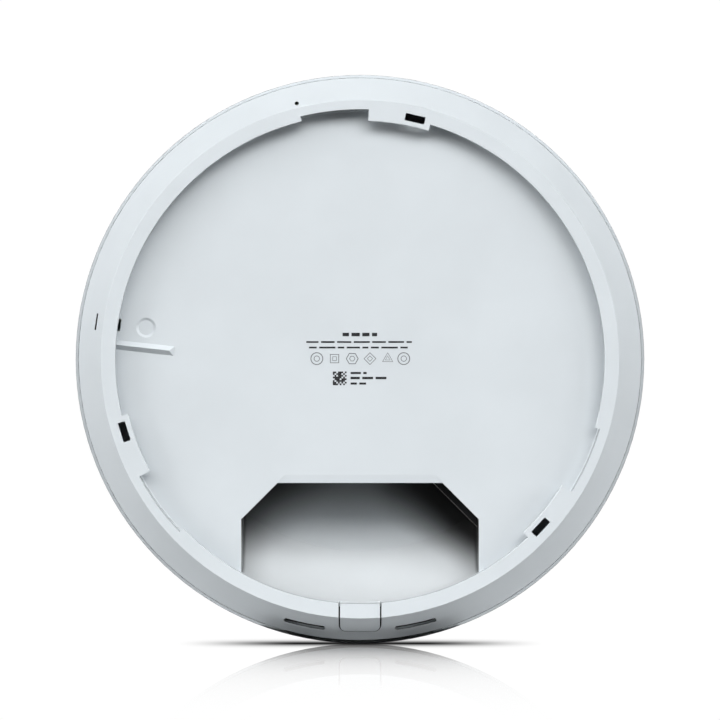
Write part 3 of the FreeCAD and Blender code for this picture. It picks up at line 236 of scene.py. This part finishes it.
def winding(name, colour):
    """Enamelled wire laid in turns."""
    look = Look(name, metallic=0.85)
    wave = look.nodes.new("ShaderNodeTexWave")
    wave.inputs["Scale"].default_value = 1 / (1.6 * MM)
    wave.bands_direction = "Y"
    look.links.new(look.place, wave.inputs["Vector"])
    look.colour(look.ramp(wave.outputs["Fac"], [(0.1, tinted(colour, 0.55)), (0.8, tinted(colour, 1.1))]))
    look.roughness(look.spread(look.noise(1.0), 0.25, 0.4))
    look.bump(wave.outputs["Fac"], 0.12, 0.7)
    return look


def sheath(name, colour):
    """Cable sheath or gap pad: soft, dull."""
    return moulded(name, colour, 0.5, 0.68, grain_mm=0.25, grain_high=0.01, shade=0.08)


WHITE = (0.635, 0.68, 0.71)
LOOKS = {
    "shell_white": moulded("shell_white", WHITE, 0.42, 0.52),
    "light_guide": translucent("light_guide", (0.88, 0.91, 0.94)),
    "board_green": circuit_board("board_green", (0.012, 0.07, 0.045)),
    "chip_black": package("chip_black", (0.018, 0.018, 0.02)),
    "black_plastic": moulded("black_plastic", (0.012, 0.012, 0.014), 0.4, 0.55, shade=0.1),
    "cream_plastic": moulded("cream_plastic", (0.72, 0.66, 0.52), 0.35, 0.5),
    "cast_aluminium": cast_metal("cast_aluminium", (0.66, 0.67, 0.68)),
    "sheet_steel": sheet_metal("sheet_steel", (0.62, 0.62, 0.61)),
    "screw_steel": sheet_metal("screw_steel", (0.50, 0.50, 0.51), 0.28, 0.42),
    "gilt": sheet_metal("gilt", (0.85, 0.62, 0.24), 0.15, 0.28),
    "bronze": cast_metal("bronze", (0.45, 0.29, 0.14)),
    "copper": winding("copper", (0.60, 0.25, 0.09)),
    "pad_grey": sheath("pad_grey", (0.19, 0.24, 0.30)),
    "cable_black": sheath("cable_black", (0.02, 0.02, 0.022)),
    "ferrite": cast_metal("ferrite", (0.05, 0.05, 0.055)),
    "ceramic_tan": moulded("ceramic_tan", (0.38, 0.23, 0.12), 0.3, 0.42, shade=0.1),
    "can_aluminium": sheet_metal("can_aluminium", (0.74, 0.74, 0.75), 0.2, 0.3),
    "lamp_yellow": moulded("lamp_yellow", (0.85, 0.78, 0.32), 0.25, 0.35),
    "flex_white": moulded("flex_white", (0.72, 0.73, 0.75), 0.4, 0.5),
}
LOOKS["ferrite"].shader.inputs["Metallic"].default_value = 0.2


def opening_box(name):
    """Corners of an opening stated in the record."""
    return next(o["box_m"] for o in RECORD["physics"]["openings"] if o["name"] == name)


# The bracket recess stated in the record ends half a millimetre short of the recess floor.
FLOOR_Y = opening_box("bracket_recess")[1][1] + 0.5 * MM
# Where the cone starts, and its radius gained per depth.
FLAT_R, CONE_RUN = 93.2 * MM, 0.75
# Inner edges of the tabs and of the lip, and the lip's depth.
TAB_R, LIP_R, LIP_Y = 85.3 * MM, 88.6 * MM, 2.4 * MM
# The cable exit's gaps lie between these distances off the middle.
EXIT_IN, EXIT_OUT = 7.6 * MM, 8.4 * MM
# How far the jack's mouth stands out of the bay's chamfer, and the gap round its bezel.
MOUTH_PROUD, BEZEL_GAP = 2.65 * MM, 0.1 * MM

# Slots: painted shade darkens a side wall between these depths (mm); the colour left, and the recess wall's
# share.
SKIN_FADE = (0.3, 0.9)
SLOT_DARK, WALL_SHARE = 0.05, 0.45
# Front cover: painted shade on its inner faces starts here, the colour left, and how far inwards a shaded
# face is turned.
INNER_SHADE_FROM_Y, INNER_SHADE_DARK, INWARD = 13.0 * MM, 0.05, 0.3
# Port bay: how far behind the recess floor, above its top and inside the cone's start it is shaded.
BAY_SKIN, BAY_OVER, BAY_INSIDE = 0.4 * MM, 0.2 * MM, 4.7 * MM
# Painted light: the bay's lit part is lightened, and this painted tint is added to red, green and blue
# against its own blue bounces.
BAY_LIFT = 1.14
BAY_WARM = (0.02, 0.0, -0.015)

# Painted shade fades: the share of colour left, where the fade starts and where it ends, both in
# millimetres.
RIM_TO_Y = 14.0 * MM            # the cover's rim is shaded up to here
RIM_LOW = (0.76, 10, 95)        # up the rim's height
RIM_EDGE = (0.45, 0.02, 0.3)    # in from its widest line
BAY_TOP = (0.28, 0.5, 17.5)     # down from the overhung top
BAY_LEFT = (0.12, -4, 20)       # in from the left chamfer
BAY_RIGHT = (0.012, 6, 26)      # in from the right chamfer
BAY_LINE = (0.45, 0.1, 1.3)     # in from both sides: a thin line
BAY_SIDE = (0.85, 1, 12)        # and a wide fade
BAY_MIDDLE = (-5, 12)           # the left fade gives way to the right one between these
SHORTER_FROM, SHORTER_BY = 18.0 * MM, 0.4   # below this depth the right fade shortens, by this share of it


class Shade:
    """Painted shade: dark corners worked out from the place of a point on the housing or the cover."""

    def __init__(self, look):
        self.look = look
        split = look.nodes.new("ShaderNodeSeparateXYZ")
        look.links.new(look.place, split.inputs["Vector"])
        self.x, self.y, self.z = (split.outputs[axis] for axis in "XYZ")
        self.wide = self.calc("ABSOLUTE", self.x)
        square_x = self.calc("MULTIPLY", self.x, self.x)
        square_z = self.calc("MULTIPLY", self.z, self.z)
        self.radius = self.calc("SQRT", self.calc("ADD", square_x, square_z))

    def calc(self, operation, first, second=0.0):
        return math_node(self.look.nodes, self.look.links, operation, first, second)

    def step(self, value, start_mm, end_mm):
        return soft_step(self.look.nodes, self.look.links, value, start_mm * MM, end_mm * MM)

    def rise(self, value, fade):
        """The fade's share up to its start, 1 beyond its end."""
        low, start_mm, end_mm = fade
        return self.calc("ADD", self.calc("MULTIPLY", self.step(value, start_mm, end_mm), 1 - low), low)

    def normal(self):
        """Sockets with the three parts of the face's own direction."""
        facing = self.look.nodes.new("ShaderNodeNewGeometry")
        split = self.look.nodes.new("ShaderNodeSeparateXYZ")
        self.look.links.new(facing.outputs["True Normal"], split.inputs["Vector"])
        return split.outputs

    def slots(self):
        """Painted shade on the side walls of slots and edges, just under the housing's outer skin."""
        skin = self.calc("DIVIDE", self.calc("SUBTRACT", self.radius, FLAT_R), CONE_RUN)
        depth = self.calc("SUBTRACT", self.y, self.calc("MAXIMUM", skin, 0.0))
        ahead = self.calc("ABSOLUTE", self.normal()["Y"])
        wall = soft_step(self.look.nodes, self.look.links, ahead, 0.75, 0.5)
        lip = self.calc("MULTIPLY", self.calc("GREATER_THAN", self.radius, TAB_R),
                        self.calc("LESS_THAN", self.y, LIP_Y))
        outside = self.calc("MAXIMUM", lip, self.calc("GREATER_THAN", self.radius, LIP_R))
        near = self.calc("MULTIPLY", self.calc("GREATER_THAN", self.wide, EXIT_IN),
                         self.calc("LESS_THAN", self.wide, EXIT_OUT))
        exit_gap = self.calc("MULTIPLY", near, self.calc("LESS_THAN", self.z, 0.0))
        narrow = self.calc("MAXIMUM", exit_gap, self.calc("GREATER_THAN", self.radius, FLAT_R))
        outside = self.calc("MULTIPLY", outside, self.calc("MAXIMUM", narrow, WALL_SHARE))
        wall = self.calc("MAXIMUM", wall, exit_gap)
        share = self.calc("MULTIPLY", self.calc("MULTIPLY", self.step(depth, *SKIN_FADE), wall), outside)
        return self.calc("SUBTRACT", 1.0, self.calc("MULTIPLY", share, 1 - SLOT_DARK))

    def bay(self):
        """Painted shade towards the top, the chamfers and the sides of the port bay, with painted light on
        its lower part; with a mask of what is in it.
        """
        bezel_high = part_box("port_bezel")[1]
        top, half = bezel_high[2] + BEZEL_GAP, bezel_high[0] + BEZEL_GAP
        mouth = next(mount["pos_m"] for mount in RECORD["mounts"] if mount["name"] == "network_port")
        corner = mouth[0] + mouth[2] + MOUTH_PROUD * math.sqrt(2)
        from_top = self.calc("SUBTRACT", top, self.z)
        from_side = self.calc("SUBTRACT", half, self.wide)
        chamfer = self.calc("SUBTRACT", corner, self.calc("ADD", self.wide, self.z))
        from_chamfer = self.calc("DIVIDE", chamfer, math.sqrt(2))
        left = self.rise(from_chamfer, BAY_LEFT)
        lower = self.calc("MAXIMUM", self.calc("SUBTRACT", from_top, SHORTER_FROM), 0.0)
        lengthened = self.calc("ADD", from_chamfer, self.calc("MULTIPLY", lower, SHORTER_BY))
        right = self.rise(lengthened, BAY_RIGHT)
        is_right = self.step(self.x, *BAY_MIDDLE)
        sides = self.calc("ADD", self.calc("MULTIPLY", right, is_right),
                          self.calc("MULTIPLY", left, self.calc("SUBTRACT", 1.0, is_right)))
        edges = self.calc("MULTIPLY", self.rise(from_side, BAY_LINE), self.rise(from_side, BAY_SIDE))
        overhung = self.calc("MULTIPLY", self.rise(from_top, BAY_TOP), BAY_LIFT)
        shade = self.calc("MULTIPLY", self.calc("MULTIPLY", overhung, sides), edges)
        inside = self.calc("MULTIPLY", self.calc("GREATER_THAN", self.y, FLOOR_Y + BAY_SKIN),
                           self.calc("GREATER_THAN", from_top, -BAY_OVER))
        inside = self.calc("MULTIPLY", inside, self.calc("LESS_THAN", self.radius, FLAT_R - BAY_INSIDE))
        kept = self.calc("SUBTRACT", 1.0, shade)
        return self.calc("SUBTRACT", 1.0, self.calc("MULTIPLY", kept, inside)), inside


def scale_colour(look, factor):
    """Multiplies a look's colour by a value socket."""
    plain = look.shader.inputs["Base Color"].links[0].from_socket
    scaled = look.nodes.new("ShaderNodeVectorMath")
    scaled.operation = "SCALE"
    look.links.new(plain, scaled.inputs["Vector"])
    look.links.new(factor, scaled.inputs["Scale"])
    look.colour(scaled.outputs["Vector"])


def housing_white():
    """The white moulding with its slots and its deep bay shaded."""
    look = moulded("housing_white", WHITE, 0.42, 0.52)
    shade = Shade(look)
    in_bay, inside = shade.bay()
    scale_colour(look, shade.calc("MULTIPLY", shade.slots(), in_bay))
    # Painted warm tint in the bay, against the blue of its bounced light.
    warm = look.nodes.new("ShaderNodeCombineXYZ")
    for axis, gain in zip("XYZ", BAY_WARM):
        look.links.new(shade.calc("ADD", shade.calc("MULTIPLY", inside, gain), 1.0), warm.inputs[axis])
    tint = look.nodes.new("ShaderNodeVectorMath")
    tint.operation = "MULTIPLY"
    look.links.new(look.shader.inputs["Base Color"].links[0].from_socket, tint.inputs[0])
    look.links.new(warm.outputs["Vector"], tint.inputs[1])
    look.colour(tint.outputs["Vector"])
    return look


HOUSING = housing_white()


def cover_white():
    """The front cover: white outside, with painted shade on its rim and on its inner faces."""
    look = moulded("cover_white", WHITE, 0.42, 0.52)
    shade = Shade(look)
    facing = shade.normal()
    inward = shade.calc("ADD", shade.calc("MULTIPLY", shade.x, facing["X"]),
                        shade.calc("MULTIPLY", shade.z, facing["Z"]))
    hollow = shade.calc("MAXIMUM", shade.calc("LESS_THAN", inward, -INWARD * FLAT_R),
                        shade.calc("LESS_THAN", facing["Y"], -INWARD))
    hollow = shade.calc("MULTIPLY", hollow, shade.calc("GREATER_THAN", shade.y, INNER_SHADE_FROM_Y))
    # Painted shade: the inner faces found above are darkened.
    inner_shade = shade.calc("SUBTRACT", 1.0, shade.calc("MULTIPLY", hollow, 1 - INNER_SHADE_DARK))
    # Painted shade: the rim darkens towards the bottom and towards its widest line.
    low_side = shade.rise(shade.z, RIM_LOW)
    edge = shade.rise(shade.calc("SUBTRACT", cad_box[1][0], shade.radius), RIM_EDGE)
    outside = shade.calc("GREATER_THAN", inward, 0.0)
    on_rim = shade.calc("MULTIPLY", shade.calc("LESS_THAN", shade.y, RIM_TO_Y), outside)
    on_rim = shade.calc("MAXIMUM", on_rim, shade.calc("LESS_THAN", shade.y, INNER_SHADE_FROM_Y))
    lost = shade.calc("SUBTRACT", 1.0, shade.calc("MULTIPLY", low_side, edge))
    rim = shade.calc("SUBTRACT", 1.0, shade.calc("MULTIPLY", on_rim, lost))
    scale_colour(look, shade.calc("MULTIPLY", inner_shade, rim))
    return look


SPECIAL_LOOKS = {"rear_housing": HOUSING, "cable_cover": HOUSING, "front_cover": cover_white()}


def dress_cad():
    """Gives every CAD node the material of its slot in the record, or its own version of it."""
    for part in RECORD["subparts"]:
        look = SPECIAL_LOOKS.get(part["node"], LOOKS[part["material_slot"]])
        for slot in NODES[part["node"]].material_slots:
            slot.material = look.material


dress_cad()


# ---- Printed block on the recess floor ------------------------------------------------------------
def ink(name, colour, shade):
    """Printing ink: dull, almost smooth."""
    return moulded(name, colour, 0.45, 0.6, grain_mm=0.15, grain_high=0.002, shade=shade).material


INK = ink("ink_dark", (0.012, 0.013, 0.015), 0.15)
INK_GREY = ink("ink_grey", (0.16, 0.17, 0.18), 0.03)
INK_T = 0.04 * MM
INK_SUNK = INK_T / 4        # how far the ink reaches into the floor, so that no gap shows
# Rows of dashes: left end, right end, height above the middle, thickness, seed, longest dash (mm).
WORD_ROWS = (
    (-6.3, 6.2, 8.9, 1.25, 3, 4.0),
    (-19.4, 19.6, 6.2, 0.62, 5, 6.0),
    (-18.4, 18.4, 4.2, 0.62, 8, 6.0),
    (-3.4, 2.4, -5.0, 0.75, 11, 6.0),
    (-3.4, 10.0, -6.8, 0.85, 12, 5.0),
    (-3.4, 2.2, -8.8, 0.75, 14, 6.0),
)
SHORTEST_DASH, DASH_SPACE, ROW_REST = 1.8, 0.9, 0.6
# The chequered square: cells a side, cell size, left and lower edge, odd cells filled, size of a dot.
CELLS, CELL, CELL_X, CELL_Z, CELL_FILL, DOT = 8, 0.62, -9.8, -9.4, 0.25, 0.98
# Outline shapes: middle, number of sides, turn.
SHAPES = (
    (-15.6, 32, 0.0),
    (-9.2, 4, math.pi / 4),
    (-2.8, 6, 0.0),
    (3.6, 4, 0.0),
    (10.0, 3, math.pi / 2),
    (15.8, 32, 0.0),
)
SHAPES_Z = 0.2
OUTLINES = ((2.3, 0.32), (1.1, 0.25))       # radius and line width of each shape's outer and inner outline


def plate(bm, x0, x1, z0, z1):
    """Thin ink rectangle on the recess floor, from corner to corner."""
    back, front = FLOOR_Y + INK_SUNK, FLOOR_Y - INK_T
    corners = [(x0, z0), (x1, z0), (x1, z1), (x0, z1)]
    low = [bm.verts.new((x, front, z)) for x, z in corners]
    high = [bm.verts.new((x, back, z)) for x, z in corners]
    bm.faces.new(low)
    bm.faces.new(list(reversed(high)))
    for i in range(4):
        k = (i + 1) % 4
        bm.faces.new((low[k], low[i], high[i], high[k]))


def loop_band(bm, points, width):
    """Closed outline drawn as a thin ink band; points run anticlockwise seen from -Y."""
    count = len(points)
    centre = sum((Vector(p) for p in points), Vector((0, 0))) / count
    rings = []
    for y in (FLOOR_Y - INK_T, FLOOR_Y + INK_SUNK):
        for scale in (1.0, 1.0 - width / (Vector(points[0]) - centre).length):
            rings.append([bm.verts.new((centre.x + (p[0] - centre.x) * scale, y,
                                        centre.y + (p[1] - centre.y) * scale)) for p in points])
    front_out, front_in, back_out, back_in = rings
    for i in range(count):
        k = (i + 1) % count
        bm.faces.new((front_out[i], front_out[k], front_in[k], front_in[i]))
        bm.faces.new((back_out[k], back_out[i], back_in[i], back_in[k]))
        bm.faces.new((front_out[k], front_out[i], back_out[i], back_out[k]))
        bm.faces.new((front_in[i], front_in[k], back_in[k], back_in[i]))


def circle_points(x, z, radius, count, turn):
    """Corners of a regular polygon."""
    step = 2 * math.pi / count
    angles = [i * step + turn for i in range(count)]
    return [(x + radius * math.cos(angle), z + radius * math.sin(angle)) for angle in angles]


def word_row(bm, x0, x1, z, high, seed, longest):
    """A line of plain dashes, like words seen from far away."""
    chance = random.Random(seed)
    x = x0
    while x < x1 - ROW_REST:
        end = min(x + chance.uniform(SHORTEST_DASH, longest), x1)
        plate(bm, x * MM, end * MM, (z - high / 2) * MM, (z + high / 2) * MM)
        x = end + DASH_SPACE


def finish_piece(name, bm, material, body="case"):
    """Mesh object from bmesh data, riding on a CAD body."""
    mesh = bpy.data.meshes.new(name)
    bmesh.ops.recalc_face_normals(bm, faces=bm.faces)
    bm.to_mesh(mesh)
    bm.free()
    thing = bpy.data.objects.new(name, mesh)
    bpy.context.scene.collection.objects.link(thing)
    mesh.materials.append(material)
    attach(thing, body)
    return thing


def printed_lines():
    """Dark dashes and a small chequered square: a generic rating block."""
    bm = bmesh.new()
    for row in WORD_ROWS:
        word_row(bm, *row)
    chance = random.Random(21)
    for row in range(CELLS):
        for column in range(CELLS):
            if (row + column) % 2 == 0 or chance.random() < CELL_FILL:
                x = CELL_X + column * CELL
                z = CELL_Z + row * CELL
                plate(bm, x * MM, (x + CELL * DOT) * MM, z * MM, (z + CELL * DOT) * MM)
    return finish_piece("rating_lines", bm, INK)


def printed_symbols():
    """A row of plain outline shapes."""
    bm = bmesh.new()
    for x, sides, turn in SHAPES:
        for radius, width in OUTLINES:
            points = circle_points(x * MM, SHAPES_Z * MM, radius * MM, sides, turn)
            loop_band(bm, points, width * MM)
    return finish_piece("rating_symbols", bm, INK_GREY)


printed_lines()
printed_symbols()


# ---- Stage: floor, light and camera ----------------------------------------------------------------
CAMERA_AWAY = 1.30
CAMERA_LENS = 180.8
CAMERA_DROP = -0.0003
FLOOR_HALF, FLOOR_GAP = 12.0, 0.00005       # half its size, and how far it lies under the object
FLOOR_SEEN, WORLD_SEEN = 1.01, 1.02         # white to the camera
SHADOW_IN, SHADOW_OUT = 0.022, 0.070        # the contact shadow fades between these distances along X
SHADOW_Y, SHADOW_WIDE = 0.0135, 0.0127      # its centre line and half-width across
MIRROR_Y, MIRROR_FLAT, MIRROR_FADE = 0.02, 0.035, 0.06
MIRROR_MOST = 0.78
GRAZING_POWER, GRAZING_GAIN = 4.0, 1.35     # the mirror grows stronger towards the horizon
BOUNCE_NEAR, BOUNCE_FAR = 0.45, 0.05        # the floor reflects less light further in front
BOUNCE_FROM, BOUNCE_TO = -0.03, -0.09
WORLD_FRONT, WORLD_BEHIND, WORLD_BAND = 0.04, 0.15, 0.4
# Name, side (-1 the mounting side), turn and rise in degrees, distance, width, height, watts.
SOFTBOXES = (
    ("key", -1, 0, 33, 3.0, 1.4, 1.2, 24.5),
    ("key_left", -1, -30, 33, 3.0, 1.4, 1.2, 22),
    ("key_right", -1, 30, 33, 3.0, 1.4, 1.2, 41.5),
    ("left", -1, -68, 6, 3.0, 1.4, 1.8, 50),
    ("left_high", -1, -62, 35, 3.0, 1.4, 1.4, 17),
    ("right", -1, 68, 6, 3.0, 1.4, 1.8, 40),
    ("top", -1, 0, 76, 3.0, 2.4, 1.6, 8),
    ("front_key", 1, 14, 26, 3.0, 1.6, 1.4, 60),
    ("front_side", 1, -24, 4, 3.0, 1.2, 2.0, 30),
)
# Black cards under the cone: distance behind the mounting plane, and top edge's radius in the middle.
FLAGS = ((0.004, 0.1006), (0.0115, 0.1012))
FLAG_HALF, FLAG_DROP, FLAG_STEPS = 0.036, 0.0012, 16


def floor_material():
    """White to the camera, with a contact shadow and a fading reflection; grey to other rays."""
    material = bpy.data.materials.new("studio_floor")
    material.use_nodes = True
    nodes, links = material.node_tree.nodes, material.node_tree.links
    nodes.clear()

    def calc(operation, first, second=0.0):
        return math_node(nodes, links, operation, first, second)

    path = nodes.new("ShaderNodeLightPath")
    place = nodes.new("ShaderNodeTexCoord")
    split = nodes.new("ShaderNodeSeparateXYZ")
    links.new(place.outputs["Object"], split.inputs["Vector"])
    along = soft_step(nodes, links, calc("ABSOLUTE", split.outputs["X"]), SHADOW_OUT, SHADOW_IN)
    off = calc("DIVIDE", calc("SUBTRACT", split.outputs["Y"], SHADOW_Y), SHADOW_WIDE)
    across = calc("POWER", math.e, calc("MULTIPLY", calc("MULTIPLY", off, off), -1.0))
    lit = calc("SUBTRACT", 1.0, calc("MULTIPLY", along, across))
    seen = nodes.new("ShaderNodeEmission")
    links.new(calc("MULTIPLY", lit, FLOOR_SEEN), seen.inputs["Strength"])

    gloss = nodes.new("ShaderNodeBsdfGlossy")
    gloss.inputs["Roughness"].default_value = 0.0   # perfectly sharp: the world tells its rays apart by that
    links.new(lit, gloss.inputs["Color"])
    beyond = calc("SUBTRACT", calc("ABSOLUTE", calc("SUBTRACT", split.outputs["Y"], MIRROR_Y)), MIRROR_FLAT)
    fade = calc("MINIMUM", calc("POWER", math.e, calc("DIVIDE", beyond, -MIRROR_FADE)), 1.0)
    facing = nodes.new("ShaderNodeLayerWeight").outputs["Facing"]
    grazing = calc("MINIMUM", calc("MULTIPLY", calc("POWER", facing, GRAZING_POWER), GRAZING_GAIN), 1.0)
    camera_view = nodes.new("ShaderNodeMixShader")
    links.new(calc("MULTIPLY", calc("MULTIPLY", fade, grazing), MIRROR_MOST), camera_view.inputs["Fac"])
    links.new(seen.outputs["Emission"], camera_view.inputs[1])
    links.new(gloss.outputs["BSDF"], camera_view.inputs[2])

    bounce = nodes.new("ShaderNodeBsdfDiffuse")
    near = soft_step(nodes, links, split.outputs["Y"], BOUNCE_TO, BOUNCE_FROM)
    grey = calc("ADD", calc("MULTIPLY", near, BOUNCE_NEAR - BOUNCE_FAR), BOUNCE_FAR)
    links.new(grey, bounce.inputs["Color"])
    mix = nodes.new("ShaderNodeMixShader")
    links.new(path.outputs["Is Camera Ray"], mix.inputs["Fac"])
    links.new(bounce.outputs["BSDF"], mix.inputs[1])
    links.new(camera_view.outputs["Shader"], mix.inputs[2])
    out = nodes.new("ShaderNodeOutputMaterial")
    links.new(mix.outputs["Shader"], out.inputs["Surface"])
    return material


def add_floor():
    """Wide floor just under the object."""
    z = cad_box[0][2] - FLOOR_GAP
    bm = bmesh.new()
    corners = [(-1, -1), (1, -1), (1, 1), (-1, 1)]
    bm.faces.new([bm.verts.new((x * FLOOR_HALF, y * FLOOR_HALF, z)) for x, y in corners])
    mesh = bpy.data.meshes.new("studio_floor")
    bm.to_mesh(mesh)
    bm.free()
    mesh.materials.append(floor_material())
    floor = bpy.data.objects.new("studio_floor", mesh)
    bpy.context.scene.collection.objects.link(floor)


def add_flag(name, away, middle_radius):
    """Unseen black card under the lowest part of the cone: keeps the light off the edge it stands on."""
    bm = bmesh.new()
    ground = cad_box[0][2]
    low, high = [], []
    for index in range(FLAG_STEPS + 1):
        x = FLAG_HALF * (2 * index / FLAG_STEPS - 1)
        radius = middle_radius + FLAG_DROP * (x / FLAG_HALF) ** 2
        low.append(bm.verts.new((x, away, ground)))
        high.append(bm.verts.new((x, away, -math.sqrt(radius ** 2 - x ** 2))))
    for index in range(FLAG_STEPS):
        bm.faces.new([low[index], low[index + 1], high[index + 1], high[index]])
    mesh = bpy.data.meshes.new(name)
    bm.to_mesh(mesh)
    bm.free()
    mesh.materials.append(INK)
    flag = bpy.data.objects.new(name, mesh)
    flag.visible_camera = False
    flag.visible_glossy = False
    bpy.context.scene.collection.objects.link(flag)


def add_world():
    """Almost dark on the mounting side, brighter behind it; white to the camera and the floor's mirror."""
    world = bpy.data.worlds.new("studio")
    bpy.context.scene.world = world
    world.use_nodes = True
    nodes, links = world.node_tree.nodes, world.node_tree.links
    nodes.clear()

    def calc(operation, first, second=0.0):
        return math_node(nodes, links, operation, first, second)

    where = nodes.new("ShaderNodeTexCoord")
    split = nodes.new("ShaderNodeSeparateXYZ")
    links.new(where.outputs["Generated"], split.inputs["Vector"])
    band = soft_step(nodes, links, split.outputs["Y"], 0.0, WORLD_BAND)
    soft = nodes.new("ShaderNodeBackground")
    links.new(calc("ADD", calc("MULTIPLY", band, WORLD_BEHIND), WORLD_FRONT), soft.inputs["Strength"])
    plain = nodes.new("ShaderNodeBackground")
    plain.inputs["Strength"].default_value = WORLD_SEEN
    plain.inputs["Color"].default_value = (1, 1, 1, 1)
    path = nodes.new("ShaderNodeLightPath")
    mix = nodes.new("ShaderNodeMixShader")
    white = calc("MAXIMUM", path.outputs["Is Camera Ray"], path.outputs["Is Singular Ray"])
    links.new(white, mix.inputs["Fac"])
    links.new(soft.outputs["Background"], mix.inputs[1])
    links.new(plain.outputs["Background"], mix.inputs[2])
    out = nodes.new("ShaderNodeOutputWorld")
    links.new(mix.outputs["Shader"], out.inputs["Surface"])


def add_softbox(name, side, turn, rise, away, wide, tall, watts):
    """Area light aimed at the origin, from the mounting side (-1) or the front (+1)."""
    light = bpy.data.lights.new(name, "AREA")
    light.shape = "RECTANGLE"
    light.size = wide
    light.size_y = tall
    light.energy = watts
    thing = bpy.data.objects.new(name, light)
    bpy.context.scene.collection.objects.link(thing)
    level = math.radians(rise)
    swing = math.radians(turn)
    flat = away * math.cos(level)
    thing.location = (flat * math.sin(swing), side * flat * math.cos(swing), away * math.sin(level))
    heading = -Vector(thing.location)
    thing.rotation_euler = heading.to_track_quat("-Z", "Y").to_euler()


def add_camera():
    """Camera square to the mounting side, at the object's middle height."""
    data = bpy.data.cameras.new("camera")
    data.lens = CAMERA_LENS
    data.sensor_width = 36.0
    data.clip_start = 0.01
    camera = bpy.data.objects.new("camera", data)
    bpy.context.scene.collection.objects.link(camera)
    camera.location = (0, -CAMERA_AWAY, CAMERA_DROP)
    camera.rotation_euler = (math.radians(90), 0, 0)
    bpy.context.scene.camera = camera


add_floor()
for number, (flag_y, flag_radius) in enumerate(FLAGS):
    add_flag(f"studio_flag_{number}", flag_y, flag_radius)
add_world()
for softbox in SOFTBOXES:
    add_softbox(*softbox)
add_camera()
bpy.context.scene.view_settings.view_transform = "Standard"
